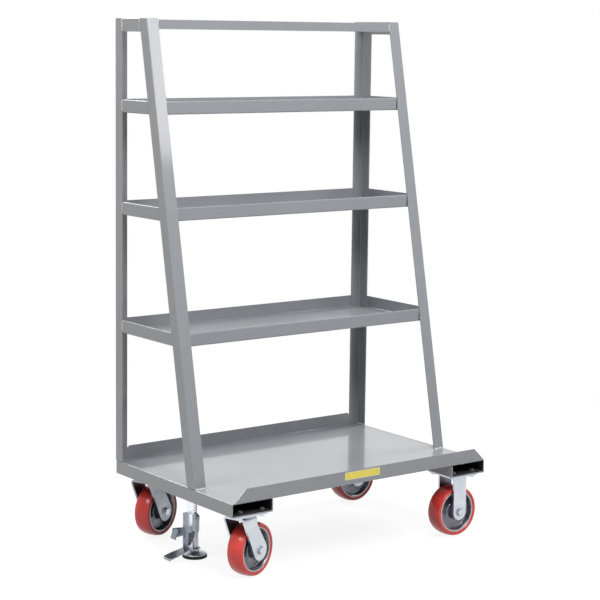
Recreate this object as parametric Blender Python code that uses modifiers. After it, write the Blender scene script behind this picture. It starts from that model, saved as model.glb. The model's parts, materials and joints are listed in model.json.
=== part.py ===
"""A-frame panel cart: a steel deck on four casters, two upright and two sloping
angle posts, three tray shelves, and a foot-operated floor lock at the swivel end.

Run with: blender --background --python part.py

Metres, +Z up. X runs along the deck, from the swivel casters (-X) to the rigid
casters (+X). The front (-Y) is the side where panels lean on the sloping posts.
The origin is on the floor, under the middle of the whole cart.
"""

from math import acos, atan2, cos, hypot, pi, radians, sin

import bmesh
import bpy
from mathutils import Matrix, Vector

# Clearances and cuts
SEAM = 0.0003
RUNNING = 0.0010
OVERRUN = 0.0100
WELD_DISTANCE = 0.00001

# Deck: a folded pan, front and rear lips up, side flanges down
DECK_LENGTH = 0.9144
DECK_DEPTH = 0.6096
DECK_TOP = 0.2318
DECK_SHEET = 0.0030
DECK_LIP = 0.0381
DECK_FLANGE = 0.0381
FOLD_RADIUS = 0.0020
FRONT_LIP_CHAMFER = 0.0445
REAR_LIP_CHAMFER = 0.0070

# Caster channels under both ends of the deck
CHANNEL_WIDTH = 0.1330
CHANNEL_WALL = 0.0040

# Posts of steel angle. The depth at the top runs from the sloping posts' faces to the rear
OVERALL_HEIGHT = 1.5240
POST_LEG = 0.0381
POST_WALL = 0.0040
POST_CORNER_RADIUS = 0.0030
POST_FILLET_RADIUS = 0.0025
FRONT_POST_BASE_SETBACK = 0.1873
FRAME_TOP_DEPTH = 0.1683

# Bars at the top
TOP_BAR_HEIGHT = 0.0266
TOP_BAR_WALL = 0.0048
TOP_BAR_DROP = 0.0035

# Tray shelves, each underside at a share of the height from the deck to the top
SHELF_SHEET = 0.0020
SHELF_LIP = 0.0381
SHELF_HEIGHT_SHARES = {"shelf_upper": 0.7926, "shelf_middle": 0.5651, "shelf_lower": 0.2981}

# Casters
WHEEL_RADIUS = 0.0762
WHEEL_SIDES = 32
TREAD_WIDTH = 0.0508
TREAD_DEPTH = 0.0127
TREAD_FLAT_WIDTH = 0.0260
TREAD_SHOULDER_DROP = 0.0028
TREAD_EDGE_DROP = 0.0080
CORE_RIM_WIDTH = 0.0450
CORE_RIM_WALL = 0.0050
CORE_WEB_WALL = 0.0170
CORE_HUB_RADIUS = 0.0230
CORE_DRAFT = 0.0035
BUSHING_RADIUS = 0.0095
AXLE_RADIUS = 0.0063
AXLE_HEAD_RADIUS = 0.0110
AXLE_HEAD_HEIGHT = 0.0080
FORK_GAP = 0.0600
FORK_WALL = 0.0060
FORK_BEND_RADIUS = 0.0100
FORK_FILLET_RADIUS = 0.0040
CASTER_PLATE_X = 0.1016
CASTER_PLATE_Y = 0.1143
CASTER_PLATE_WALL = 0.0063
CASTER_PLATE_CORNER = 0.0080
CASTER_BOLTS_X = 0.0730
CASTER_BOLTS_Y = 0.0870
CASTER_SETBACK = 0.0635
CASTER_INSET = 0.0725
BOLT_RADIUS = 0.0048
BOLT_HEAD_RADIUS = 0.0085
BOLT_HEAD_HEIGHT = 0.0060
BOLT_END = 0.0020
ROUND_STEPS = 20
HOLE_STEPS = 8
HEX_SIDES = 6

# Swivel casters
TRAIL = 0.0406
SWIVEL_CROWN_FRONT = 0.0340
SWIVEL_CROWN_REAR = 0.0240
SWIVEL_KNEE_X = 0.0350
SWIVEL_KNEE_Z = 0.1380
SWIVEL_KNEE_RUN = 0.0170
SWIVEL_LEG_END_RADIUS = 0.0288
KINGPIN_RADIUS = 0.0080
KINGPIN_NUT_RADIUS = 0.0135
KINGPIN_NUT_HEIGHT = 0.0090
RACE_RADIUS = 0.0420
RACE_LIP = 0.0025
RACE_TAPER = 0.0050
RACE_HEIGHT = 0.0090
FRONT_SWIVEL_TURN = radians(18)
REAR_SWIVEL_TURN = radians(21)

# Rigid casters
RIGID_LEG_HALF = 0.0240

# Floor lock, under the swivel end
LOCK_INSET = 0.0797
LOCK_PLATE_X = 0.0700
LOCK_PLATE_Y = 0.1000
LOCK_PLATE_WALL = 0.0050
LOCK_BOLTS_X = 0.0460
LOCK_BOLTS_Y = 0.0760
HOUSING_WIDTH = 0.0370
HOUSING_WEB_X = 0.0165
HOUSING_LIP_X = 0.0080
HOUSING_WALL = 0.0025
HOUSING_BEND_RADIUS = 0.0020
HOUSING_FILLET_RADIUS = 0.0010
HOUSING_BOTTOM = 0.0520
SLEEVE_BOTTOM = 0.0740
SLEEVE_HEIGHT = 0.0420
SLEEVE_TAPER = 0.0012
PLUNGER_RADIUS = 0.0103
PLUNGER_CAP_HEIGHT = 0.0110
PLUNGER_CAP_RIM = 0.0030
PLUNGER_CAP_TOP_RADIUS = 0.0072
STUD_RADIUS = 0.0060
PAD_RADIUS = 0.0355
PAD_HEIGHT = 0.0080
PAD_CHAMFER = 0.0015
CUP_RIM_RADIUS = 0.0340
CUP_RIM_HEIGHT = 0.0030
CUP_NECK_RADIUS = 0.0125
CUP_SHOULDER_HEIGHT = 0.0075
CUP_HEIGHT = 0.0158
CUP_FLOOR = 0.0030
PEDAL_REACH = 0.0955
PEDAL_WALL = 0.0030
PEDAL_HALF_WIDTH = 0.0205
PEDAL_NECK_HALF_WIDTH = 0.0165
PEDAL_NECK_LENGTH = 0.0340
PEDAL_DROP = 0.0150
PEDAL_TIP_LIP = 0.0030
PEDAL_CORNER = 0.0080
STEM_WALL = 0.0030
STEM_HALF_WIDTH = 0.0175
STEM_SIDE_LIP = 0.0110
STEM_HEIGHT = 0.1020
RELEASE_PIVOT_X = 0.0040
RELEASE_PIVOT_Z = 0.0740
RELEASE_ARM_WALL = 0.0025
RELEASE_ARM_HEIGHT = 0.0300
RELEASE_ARM_LENGTH = 0.0590
RELEASE_ARM_END_RADIUS = 0.0100
RELEASE_PAD_WIDTH = 0.0240
RELEASE_PAD_LENGTH = 0.0300
RELEASE_PAD_WALL = 0.0030
RELEASE_PAD_TILT = radians(20)
PIN_RADIUS = 0.0030
PIN_HEAD_RADIUS = 0.0060
PIN_HEAD_HEIGHT = 0.0025
CATCH_WALL = 0.0030
CATCH_REACH = 0.0300
CATCH_HALF_WIDTH = 0.0105
CATCH_HEIGHT = 0.0370
CATCH_FOOT_RADIUS = 0.0052
CATCH_HOLE_RADIUS = 0.0026
CATCH_TOP = 0.0800
SPRING_RADIUS = 0.0052
SPRING_WIRE_RADIUS = 0.0011
SPRING_TURNS = 12
SPRING_POINTS_PER_TURN = 8

# Places that follow from the sizes above
PEDAL_OVERHANG = PEDAL_REACH - LOCK_INSET
AXLE_HEIGHT = WHEEL_RADIUS * cos(pi / WHEEL_SIDES)
WHEEL_OVERHANG = AXLE_HEIGHT - CASTER_INSET
DECK_LEFT = (PEDAL_OVERHANG - WHEEL_OVERHANG - DECK_LENGTH) / 2
DECK_RIGHT = DECK_LEFT + DECK_LENGTH
DECK_FRONT = -DECK_DEPTH / 2
DECK_REAR = DECK_DEPTH / 2
FOLD_OUTER = FOLD_RADIUS + DECK_SHEET
POST_HEIGHT = OVERALL_HEIGHT - DECK_TOP
POST_SLOPE = (DECK_DEPTH - FRAME_TOP_DEPTH - FRONT_POST_BASE_SETBACK) / POST_HEIGHT
SHELF_UNDERSIDES = {name: DECK_TOP + share * POST_HEIGHT for name, share in SHELF_HEIGHT_SHARES.items()}
SEAT_FLOOR = DECK_TOP - SEAM
CHANNEL_TOP = DECK_TOP - DECK_SHEET - SEAM
CHANNEL_BOTTOM = DECK_TOP - DECK_FLANGE
PLATE_TOP = CHANNEL_BOTTOM - SEAM
CASTER_PLATE_BOTTOM = PLATE_TOP - CASTER_PLATE_WALL
FORK_HALF = FORK_GAP / 2 + FORK_WALL
BUSHING_HALF = FORK_GAP / 2 - SEAM
LEFT_CASTER_X = DECK_LEFT + CASTER_INSET
RIGHT_CASTER_X = DECK_RIGHT - CASTER_INSET
FRONT_CASTER_Y = DECK_FRONT + CASTER_SETBACK
REAR_CASTER_Y = DECK_REAR - CASTER_SETBACK
LOCK_X = DECK_LEFT + LOCK_INSET
LOCK_PLATE_BOTTOM = PLATE_TOP - LOCK_PLATE_WALL
CUP_BOTTOM = PAD_HEIGHT + SEAM
CUP_TOP = CUP_BOTTOM + CUP_HEIGHT
PEDAL_BOTTOM = CUP_TOP + SEAM
PEDAL_TOP = PEDAL_BOTTOM + PEDAL_WALL

SWIVEL_CASTERS = {
    "front_left": (LEFT_CASTER_X, FRONT_CASTER_Y, FRONT_SWIVEL_TURN),
    "rear_left": (LEFT_CASTER_X, REAR_CASTER_Y, REAR_SWIVEL_TURN),
}
RIGID_CASTERS = {
    "front_right": (RIGHT_CASTER_X, FRONT_CASTER_Y),
    "rear_right": (RIGHT_CASTER_X, REAR_CASTER_Y),
}

# Turns from a drawing plane to the model: X-Z drawings extrude along -Y, Y-Z ones along X
XZ_PLANE = Matrix.Rotation(pi / 2, 4, "X")
YZ_PLANE = Matrix(((0, 0, 1, 0), (1, 0, 0, 0), (0, 1, 0, 0), (0, 0, 0, 1)))


# Materials


def principled(name, colour, roughness, metallic=0.0):
    """Principled material, made once for each name."""
    found = bpy.data.materials.get(name)
    if found:
        return found
    material = bpy.data.materials.new(name)
    material.use_nodes = True
    shader = material.node_tree.nodes["Principled BSDF"]
    shader.inputs["Base Color"].default_value = (*colour, 1.0)
    shader.inputs["Roughness"].default_value = roughness
    shader.inputs["Metallic"].default_value = metallic
    return material


def gray_paint():
    return principled("gray_paint", (0.30, 0.31, 0.33), 0.38)


def zinc():
    return principled("zinc_plate", (0.72, 0.73, 0.74), 0.32, 1.0)


def dark_steel():
    return principled("dark_steel", (0.10, 0.10, 0.11), 0.45, 0.6)


def red_urethane():
    return principled("red_urethane", (0.62, 0.03, 0.03), 0.30)


def black_rubber():
    return principled("black_rubber", (0.03, 0.03, 0.03), 0.70)


# Scene and meshes


def clear_scene():
    for old in list(bpy.data.objects):
        bpy.data.objects.remove(old)


def new_collection(name):
    group = bpy.data.collections.new(name)
    bpy.context.scene.collection.children.link(group)
    return group


def add_part(name, mesh, material, parent=None, place=None):
    """One sub-part of the cart, under its own name and with its own material."""
    part = bpy.data.objects.new(name, mesh)
    mesh.materials.clear()
    mesh.materials.append(material)
    bpy.data.collections["panel_cart"].objects.link(part)
    part.parent = parent
    if place is not None:
        part.matrix_local = place
    return part


def add_cutter(name, mesh, parent=None):
    cutter = bpy.data.objects.new(name, mesh)
    cutter.hide_render = True
    cutter.display_type = "WIRE"
    bpy.data.collections["cutters"].objects.link(cutter)
    cutter.parent = parent
    return cutter


def add_empty(name, location, turn=0.0, tilt=0.0, parent=None):
    """Empty at a joint: turned about the vertical, after a tilt about X."""
    empty = bpy.data.objects.new(name, None)
    bpy.data.collections["panel_cart"].objects.link(empty)
    empty.parent = parent
    empty.location = location
    empty.rotation_euler = (tilt, 0.0, turn)
    return empty


def boolean(part, cutter, operation="DIFFERENCE"):
    step = part.modifiers.new(f"{operation.lower()}_{cutter.name}", "BOOLEAN")
    step.operation = operation
    step.object = cutter
    return step


def finished_mesh(name, shape):
    mesh = bpy.data.meshes.new(name)
    shape.to_mesh(mesh)
    shape.free()
    return mesh


def box_mesh(name, low, high, rounded=None, radius=0.0):
    """Box between two corners. The edges that rounded() picks get a radius."""
    low, high = Vector(low), Vector(high)
    shape = bmesh.new()
    bmesh.ops.create_cube(shape, size=1.0)
    scale = Matrix.Diagonal((*(high - low), 1.0))
    shape.transform(Matrix.Translation((low + high) / 2) @ scale)
    if rounded:
        edges = [edge for edge in shape.edges if rounded(*(v.co for v in edge.verts))]
        bmesh.ops.bevel(
            shape, geom=edges, offset=radius, offset_type="OFFSET", segments=3, profile=0.5, affect="EDGES"
        )
    return finished_mesh(name, shape)


def lower_edges(height):
    """Picks the edges that lie at or below a height, both ends."""
    return lambda a, b: a.z < height and b.z < height


def lower_long_edges(height):
    """Picks the edges below a height that run along X."""
    return lambda a, b: a.z < height and b.z < height and abs(a.y - b.y) < WELD_DISTANCE


def prism_mesh(name, loops, low, high, plane=None):
    """Solid of a flat outline with holes, drawn in a plane and given thickness from low to high.

    The first loop is the outline, and the others are holes.
    """
    curve = bpy.data.curves.new(name, "CURVE")
    curve.dimensions = "2D"
    curve.fill_mode = "BOTH"
    curve.extrude = (high - low) / 2
    for loop in loops:
        spline = curve.splines.new("POLY")
        spline.points.add(len(loop) - 1)
        for point, (across, along) in zip(spline.points, loop):
            point.co = (across, along, 0.0, 1.0)
        spline.use_cyclic_u = True
    drawn = bpy.data.objects.new(name, curve)
    bpy.context.scene.collection.objects.link(drawn)
    graph = bpy.context.evaluated_depsgraph_get()
    mesh = bpy.data.meshes.new_from_object(drawn.evaluated_get(graph))
    bpy.data.objects.remove(drawn)
    bpy.data.curves.remove(curve)
    shape = bmesh.new()
    shape.from_mesh(mesh)
    bmesh.ops.remove_doubles(shape, verts=shape.verts, dist=WELD_DISTANCE)
    bmesh.ops.recalc_face_normals(shape, faces=shape.faces)
    shape.to_mesh(mesh)
    shape.free()
    mesh.name = name
    mesh.transform((plane or Matrix()) @ Matrix.Translation((0, 0, (low + high) / 2)))
    return mesh


def joined_mesh(name, meshes):
    """Several closed meshes in one, each still a body of its own."""
    shape = bmesh.new()
    for mesh in meshes:
        shape.from_mesh(mesh)
    return finished_mesh(name, shape)


def turned(name, profile, material, parent, steps=ROUND_STEPS, closed=False, turn=0.0, place=None):
    """Turned piece: (radius, height) points, down the outer side, screwed about the local Z axis."""
    mesh = bpy.data.meshes.new(name)
    points = [(radius * cos(turn), radius * sin(turn), height) for radius, height in profile]
    edges = [(i, i + 1) for i in range(len(points) - 1)]
    if closed:
        edges.append((len(points) - 1, 0))
    mesh.from_pydata(points, edges, [])
    part = add_part(name, mesh, material, parent, place)
    screw = part.modifiers.new("turn", "SCREW")
    screw.angle = 2 * pi
    screw.steps = steps
    screw.render_steps = steps
    screw.use_merge_vertices = True
    screw.merge_threshold = WELD_DISTANCE
    screw.use_smooth_shade = True
    return part


# Outlines, as lists of points round a flat shape


def arc(centre, radius, start, end, steps=4):
    """Points of an arc, both ends included."""
    return [
        (
            centre[0] + radius * cos(start + (end - start) * i / steps),
            centre[1] + radius * sin(start + (end - start) * i / steps),
        )
        for i in range(steps + 1)
    ]


def circle(centre, radius, sides=HOLE_STEPS):
    return arc(centre, radius, 0.0, 2 * pi * (1 - 1 / sides), sides - 1)


def rounded_rectangle(low_x, low_y, high_x, high_y, radius):
    corners = (
        (high_x - radius, high_y - radius, 0.0),
        (low_x + radius, high_y - radius, pi / 2),
        (low_x + radius, low_y + radius, pi),
        (high_x - radius, low_y + radius, 3 * pi / 2),
    )
    points = []
    for x, y, start in corners:
        points += arc((x, y), radius, start, start + pi / 2)
    return points


def angle_outline(leg_x, leg_y, wall, corner_radius, fillet_radius):
    """L section with its outer corner at the origin and its legs along +X and +Y."""
    outer = arc((corner_radius, corner_radius), corner_radius, 3 * pi / 2, pi)
    inner_centre = (wall + fillet_radius, wall + fillet_radius)
    inner = arc(inner_centre, fillet_radius, pi, 3 * pi / 2)
    return outer + [(0.0, leg_y), (wall, leg_y)] + inner + [(leg_x, wall), (leg_x, 0.0)]


def channel_outline(half_width, top, bottom, wall, outer_radius, inner_radius):
    """U section that opens downwards, walls of one thickness, with rounded bends."""
    inner_half = half_width - wall
    return (
        [(half_width, bottom)]
        + arc((half_width - outer_radius, top - outer_radius), outer_radius, 0.0, pi / 2)
        + arc((outer_radius - half_width, top - outer_radius), outer_radius, pi / 2, pi)
        + [(-half_width, bottom), (-inner_half, bottom)]
        + arc((inner_radius - inner_half, top - wall - inner_radius), inner_radius, pi, pi / 2)
        + arc((inner_half - inner_radius, top - wall - inner_radius), inner_radius, pi / 2, 0.0)
        + [(inner_half, bottom)]
    )


def tangent_angle(point, centre, radius, side):
    """Angle, seen from a circle's centre, where the line from a point touches the circle."""
    across, up = point[0] - centre[0], point[1] - centre[1]
    return atan2(up, across) + side * acos(min(radius / hypot(across, up), 1.0))


def leg_outline(left, right, centre, radius):
    """Side view of a fork: down its left points, round the axle, and up its right points."""
    start = tangent_angle(left[-1], centre, radius, 1)
    end = tangent_angle(right[-1], centre, radius, -1) + 2 * pi
    return left + arc(centre, radius, start, end, 8) + right[::-1]


def mirrored(points, flip_x, flip_y):
    return [(x * (-1 if flip_x else 1), y * (-1 if flip_y else 1)) for x, y in points]


def moved(points, x, y):
    return [(px + x, py + y) for px, py in points]


# Deck


def front_post_face(height):
    """Y of the sloping posts' outer face at a height."""
    return DECK_FRONT + FRONT_POST_BASE_SETBACK + (height - DECK_TOP) * POST_SLOPE


def front_lip_chamfers():
    """Wedges that take the corners off the front lip."""
    top = DECK_TOP + DECK_LIP + OVERRUN
    run = (FRONT_LIP_CHAMFER - FOLD_OUTER) * (DECK_LIP + OVERRUN) / DECK_LIP
    left = [
        (DECK_LEFT - OVERRUN, DECK_TOP),
        (DECK_LEFT + FOLD_OUTER, DECK_TOP),
        (DECK_LEFT + FOLD_OUTER + run, top),
        (DECK_LEFT - OVERRUN, top),
    ]
    middle = DECK_LEFT + DECK_RIGHT
    right = [(middle - x, z) for x, z in left]
    reach = (-DECK_FRONT - 2 * FOLD_OUTER, -DECK_FRONT + OVERRUN)
    wedges = [prism_mesh("chamfer", [side], *reach, XZ_PLANE) for side in (left, right)]
    return add_cutter("cut_front_lip", joined_mesh("cut_front_lip", wedges))


def rear_lip_ends():
    """Cuts that end the rear lip beside the rear posts, with a small corner off."""
    top = DECK_TOP + DECK_LIP + OVERRUN
    inner = DECK_LEFT + POST_LEG + SEAM
    left = [
        (DECK_LEFT - OVERRUN, DECK_TOP),
        (inner, DECK_TOP),
        (inner, DECK_TOP + DECK_LIP - REAR_LIP_CHAMFER),
        (inner + REAR_LIP_CHAMFER + OVERRUN, top),
        (DECK_LEFT - OVERRUN, top),
    ]
    middle = DECK_LEFT + DECK_RIGHT
    right = [(middle - x, z) for x, z in left]
    reach = (-DECK_REAR - OVERRUN, -DECK_REAR + 2 * FOLD_OUTER)
    ends = [prism_mesh("end", [side], *reach, XZ_PLANE) for side in (left, right)]
    return add_cutter("cut_rear_lip", joined_mesh("cut_rear_lip", ends))


def deck_pan():
    """Folded pan. Each corner keeps a small square relief where two folds meet."""
    left, right = DECK_LEFT + FOLD_OUTER, DECK_RIGHT - FOLD_OUTER
    low, high = DECK_TOP - DECK_SHEET, DECK_TOP + DECK_LIP
    tray = box_mesh(
        "deck_pan", (left, DECK_FRONT, low), (right, DECK_REAR, high), lower_long_edges(DECK_TOP), FOLD_OUTER
    )
    pan = add_part("deck_pan", tray, gray_paint())
    hollow = box_mesh(
        "deck_hollow",
        (left - OVERRUN, DECK_FRONT + DECK_SHEET, DECK_TOP),
        (right + OVERRUN, DECK_REAR - DECK_SHEET, high + OVERRUN),
        lower_long_edges(high),
        FOLD_RADIUS,
    )
    boolean(pan, add_cutter("cut_deck_hollow", hollow))
    flanges = channel_outline(
        DECK_LENGTH / 2, DECK_TOP, DECK_TOP - DECK_FLANGE, DECK_SHEET, FOLD_OUTER, FOLD_RADIUS
    )
    flanges = moved(flanges, (DECK_LEFT + DECK_RIGHT) / 2, 0.0)
    reach = DECK_REAR - FOLD_OUTER
    ends = prism_mesh("flanges", [flanges], -reach, reach, XZ_PLANE)
    boolean(pan, add_cutter("flanges", ends), "UNION")
    boolean(pan, front_lip_chamfers())
    boolean(pan, rear_lip_ends())
    boolean(pan, post_seats())
    return pan


def bolt_places(centre_x, centre_y, spacing_x, spacing_y):
    return [
        (centre_x + sx * spacing_x / 2, centre_y + sy * spacing_y / 2) for sx in (-1, 1) for sy in (-1, 1)
    ]


def bolt_holes(places):
    return [circle(place, BOLT_RADIUS + SEAM) for place in places]


def deck_channel(side, end_x, inward, holes):
    """Channel under one end: a drilled bottom plate and an inner wall, folded from one sheet."""
    inner = end_x + inward * CHANNEL_WIDTH
    outer = end_x + inward * (DECK_SHEET + SEAM)
    section = angle_outline(
        abs(inner - outer), CHANNEL_TOP - CHANNEL_BOTTOM, CHANNEL_WALL, POST_CORNER_RADIUS, FOLD_RADIUS
    )
    section = moved(mirrored(section, inward > 0, False), inner, CHANNEL_BOTTOM)
    mesh = prism_mesh(f"deck_channel_{side}", [section], DECK_FRONT, DECK_REAR, XZ_PLANE)
    channel = add_part(f"deck_channel_{side}", mesh, gray_paint())
    drills = [
        prism_mesh("drill", [hole], CHANNEL_BOTTOM - OVERRUN, CHANNEL_BOTTOM + CHANNEL_WALL + OVERRUN)
        for hole in holes
    ]
    boolean(channel, add_cutter(f"drills_{side}", joined_mesh(f"drills_{side}", drills)))
    return channel


def caster_bolt_places(x, y):
    return bolt_places(x, y, CASTER_BOLTS_X, CASTER_BOLTS_Y)


def deck_channels():
    """Both channels, drilled for the casters' bolts and the left one for the lock's too."""
    left = bolt_places(LOCK_X, 0.0, LOCK_BOLTS_X, LOCK_BOLTS_Y)
    right = []
    for y in (FRONT_CASTER_Y, REAR_CASTER_Y):
        left += caster_bolt_places(LEFT_CASTER_X, y)
        right += caster_bolt_places(RIGHT_CASTER_X, y)
    deck_channel("left", DECK_LEFT, 1, bolt_holes(left))
    deck_channel("right", DECK_RIGHT, -1, bolt_holes(right))


# Posts and top bars


def slope_shear():
    """Leans a shape back by the sloping posts' slope, with its place kept at the deck."""
    shear = Matrix()
    shear[1][2] = POST_SLOPE
    shear[1][3] = -DECK_TOP * POST_SLOPE
    return shear


def post_mesh(name, side, end, low, high, clearance=0.0):
    """Angle post at one corner. With a clearance, the room that a neighbour leaves for it."""
    spill = OVERRUN if clearance else 0.0
    leg = POST_LEG + clearance + spill
    wall = POST_WALL + clearance + spill
    corner = POST_CORNER_RADIUS
    fillet = POST_FILLET_RADIUS - clearance
    outline = moved(angle_outline(leg, leg, wall, corner, fillet), -spill, -spill)
    outline = mirrored(outline, side == "right", end == "rear")
    x = DECK_RIGHT if side == "right" else DECK_LEFT
    y = DECK_REAR if end == "rear" else DECK_FRONT + FRONT_POST_BASE_SETBACK
    mesh = prism_mesh(name, [moved(outline, x, y)], low, high)
    if end == "front":
        mesh.transform(slope_shear())
    return mesh


def posts():
    for end in ("front", "rear"):
        for side in ("left", "right"):
            name = f"post_{end}_{side}"
            add_part(name, post_mesh(name, side, end, DECK_TOP, OVERALL_HEIGHT), gray_paint())


def post_clearances():
    """Room for all four posts, cut from every shelf and from the top rails."""
    low, high = DECK_TOP - OVERRUN, OVERALL_HEIGHT + OVERRUN
    rooms = []
    for end in ("front", "rear"):
        for side in ("left", "right"):
            rooms.append(post_mesh("room", side, end, low, high, SEAM))
    return add_cutter("cut_posts", joined_mesh("cut_posts", rooms))


def post_seats():
    """Shallow seats in the deck for the posts' feet, wider round the posts that lean."""
    seats = []
    for end, clearance in (("front", RUNNING), ("rear", SEAM)):
        for side in ("left", "right"):
            seats.append(post_mesh("seat", side, end, SEAT_FLOOR, DECK_TOP + OVERRUN, clearance))
    return add_cutter("cut_post_seats", joined_mesh("cut_post_seats", seats))


def top_rails(clearances):
    """Angles that join the front and rear posts at each end, one leg flat on top."""
    for side, x in (("left", DECK_LEFT), ("right", DECK_RIGHT)):
        section = angle_outline(POST_LEG, POST_LEG, POST_WALL, POST_CORNER_RADIUS, POST_FILLET_RADIUS)
        section = moved(mirrored(section, side == "right", True), x, OVERALL_HEIGHT)
        front = front_post_face(OVERALL_HEIGHT) + POST_WALL + SEAM
        reach = (-(DECK_REAR - POST_WALL - SEAM), -front)
        name = f"top_rail_{side}"
        rail = add_part(name, prism_mesh(name, [section], *reach, XZ_PLANE), gray_paint())
        boolean(rail, clearances)


def top_bar():
    """Flat bar between the sloping posts, just under their tops."""
    top = OVERALL_HEIGHT - TOP_BAR_DROP
    face = front_post_face(top)
    inset = POST_LEG + SEAM
    low = (DECK_LEFT + inset, face, top - TOP_BAR_HEIGHT)
    high = (DECK_RIGHT - inset, face + TOP_BAR_WALL, top)
    add_part("top_bar_front", box_mesh("top_bar_front", low, high), gray_paint())


# Shelves


def shelf(name, underside, clearances):
    """Tray between the posts, its lips flush with them and its corners cut out round them."""
    top = underside + SHELF_LIP
    front = front_post_face(top)
    fold_outer = FOLD_RADIUS + SHELF_SHEET
    outside = box_mesh(
        name, (DECK_LEFT, front, underside), (DECK_RIGHT, DECK_REAR, top), lower_edges(top), fold_outer
    )
    tray = add_part(name, outside, gray_paint())
    hollow = box_mesh(
        f"{name}_hollow",
        (DECK_LEFT + SHELF_SHEET, front + SHELF_SHEET, underside + SHELF_SHEET),
        (DECK_RIGHT - SHELF_SHEET, DECK_REAR - SHELF_SHEET, top + OVERRUN),
        lower_edges(top),
        FOLD_RADIUS,
    )
    boolean(tray, add_cutter(f"cut_{name}", hollow))
    boolean(tray, clearances)
    notch_depth = front + POST_WALL + SEAM
    notches = []
    for low_x, high_x in (
        (DECK_LEFT - OVERRUN, DECK_LEFT + POST_LEG + SEAM),
        (DECK_RIGHT - POST_LEG - SEAM, DECK_RIGHT + OVERRUN),
    ):
        low = (low_x, front - OVERRUN, underside - OVERRUN)
        notches.append(box_mesh("notch", low, (high_x, notch_depth, top + OVERRUN)))
    boolean(tray, add_cutter(f"cut_{name}_front", joined_mesh(f"cut_{name}_front", notches)))
    return tray


# Fasteners


def add_bolts(plate, places, plate_bottom):
    """Hex bolts made one with their plate: heads below it, nuts inside the channel above."""
    grip_top = CHANNEL_BOTTOM + CHANNEL_WALL + SEAM
    shanks, hexes = [], []
    for place in places:
        hexagon = circle(place, BOLT_HEAD_RADIUS, HEX_SIDES)
        hexes.append(prism_mesh("head", [hexagon], plate_bottom - BOLT_HEAD_HEIGHT, plate_bottom + SEAM))
        hexes.append(prism_mesh("nut", [hexagon], grip_top, grip_top + BOLT_HEAD_HEIGHT))
        shank_top = grip_top + BOLT_HEAD_HEIGHT + BOLT_END
        shanks.append(prism_mesh("shank", [circle(place, BOLT_RADIUS)], plate_bottom + SEAM, shank_top))
    for kind, meshes in (("shanks", shanks), ("hexes", hexes)):
        name = f"{plate.name}_{kind}"
        boolean(plate, add_cutter(name, joined_mesh(name, meshes), plate.parent), "UNION")


# Casters


def caster_plate(name, x, y, centre_hole):
    """Top plate of a caster, with its four bolts."""
    half_x, half_y = CASTER_PLATE_X / 2, CASTER_PLATE_Y / 2
    loops = [moved(rounded_rectangle(-half_x, -half_y, half_x, half_y, CASTER_PLATE_CORNER), x, y)]
    if centre_hole:
        loops.append(circle((x, y), centre_hole, ROUND_STEPS))
    plate = add_part(name, prism_mesh(name, loops, CASTER_PLATE_BOTTOM, PLATE_TOP), zinc())
    add_bolts(plate, caster_bolt_places(x, y), CASTER_PLATE_BOTTOM)


def fork(name, parent, crown_top, side, centre_hole):
    """Fork bent from plate: its side view and its end view, taken together."""
    axle_x = side["centre"][0]
    outline = leg_outline(side["left"], side["right"], side["centre"], side["radius"])
    axle_hole = circle((axle_x, AXLE_HEIGHT), AXLE_RADIUS + SEAM, ROUND_STEPS)
    reach = FORK_HALF + OVERRUN
    body = add_part(name, prism_mesh(name, [outline, axle_hole], -reach, reach, XZ_PLANE), zinc(), parent)
    low = AXLE_HEIGHT - side["radius"] - OVERRUN
    section = channel_outline(FORK_HALF, crown_top, low, FORK_WALL, FORK_BEND_RADIUS, FORK_FILLET_RADIUS)
    length = max(abs(x) for x, z in outline) + OVERRUN
    bent = prism_mesh(f"{name}_bend", [section], -length, length, YZ_PLANE)
    boolean(body, add_cutter(f"{name}_bend", bent, parent), "INTERSECT")
    if centre_hole:
        hole = [circle((0.0, 0.0), centre_hole, ROUND_STEPS)]
        drill = prism_mesh(f"{name}_drill", hole, crown_top - 2 * FORK_WALL, crown_top + OVERRUN)
        boolean(body, add_cutter(f"{name}_drill", drill, parent))
    return body


def swivel_fork_side(crown_top):
    """The swivel fork's side view: it rakes back to the axle, with a knee at its trailing edge."""
    top = crown_top + OVERRUN
    shoulder = crown_top - FORK_BEND_RADIUS
    return {
        "left": [(-SWIVEL_CROWN_FRONT, top), (-SWIVEL_CROWN_FRONT, shoulder)],
        "right": [
            (SWIVEL_CROWN_REAR, top),
            (SWIVEL_CROWN_REAR, SWIVEL_KNEE_Z + SWIVEL_KNEE_RUN),
            (SWIVEL_KNEE_X, SWIVEL_KNEE_Z),
        ],
        "centre": (TRAIL, AXLE_HEIGHT),
        "radius": SWIVEL_LEG_END_RADIUS,
    }


def rigid_fork_side(crown_top):
    """The rigid fork's side view: straight legs, round at the axle."""
    top = crown_top + OVERRUN
    middle = (crown_top + AXLE_HEIGHT) / 2
    return {
        "left": [(-RIGID_LEG_HALF, top), (-RIGID_LEG_HALF, middle)],
        "right": [(RIGID_LEG_HALF, top), (RIGID_LEG_HALF, middle)],
        "centre": (0.0, AXLE_HEIGHT),
        "radius": RIGID_LEG_HALF,
    }


def axle(name, parent):
    """Bolt through both fork legs, its head in front and its nut behind. Local Z is the axle."""
    face = FORK_HALF + SEAM
    section = circle((0.0, 0.0), AXLE_RADIUS, ROUND_STEPS)
    shank = prism_mesh(name, [section], -face - SEAM, face + AXLE_HEAD_HEIGHT)
    bolt = add_part(name, shank, zinc(), parent)
    hexagon = circle((0.0, 0.0), AXLE_HEAD_RADIUS, HEX_SIDES)
    head = prism_mesh("head", [hexagon], face, face + AXLE_HEAD_HEIGHT - SEAM)
    nut = prism_mesh("nut", [hexagon], -face - AXLE_HEAD_HEIGHT, -face)
    ends = add_cutter(f"{name}_hexes", joined_mesh(f"{name}_hexes", [head, nut]), parent)
    boolean(bolt, ends, "UNION")


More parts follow.
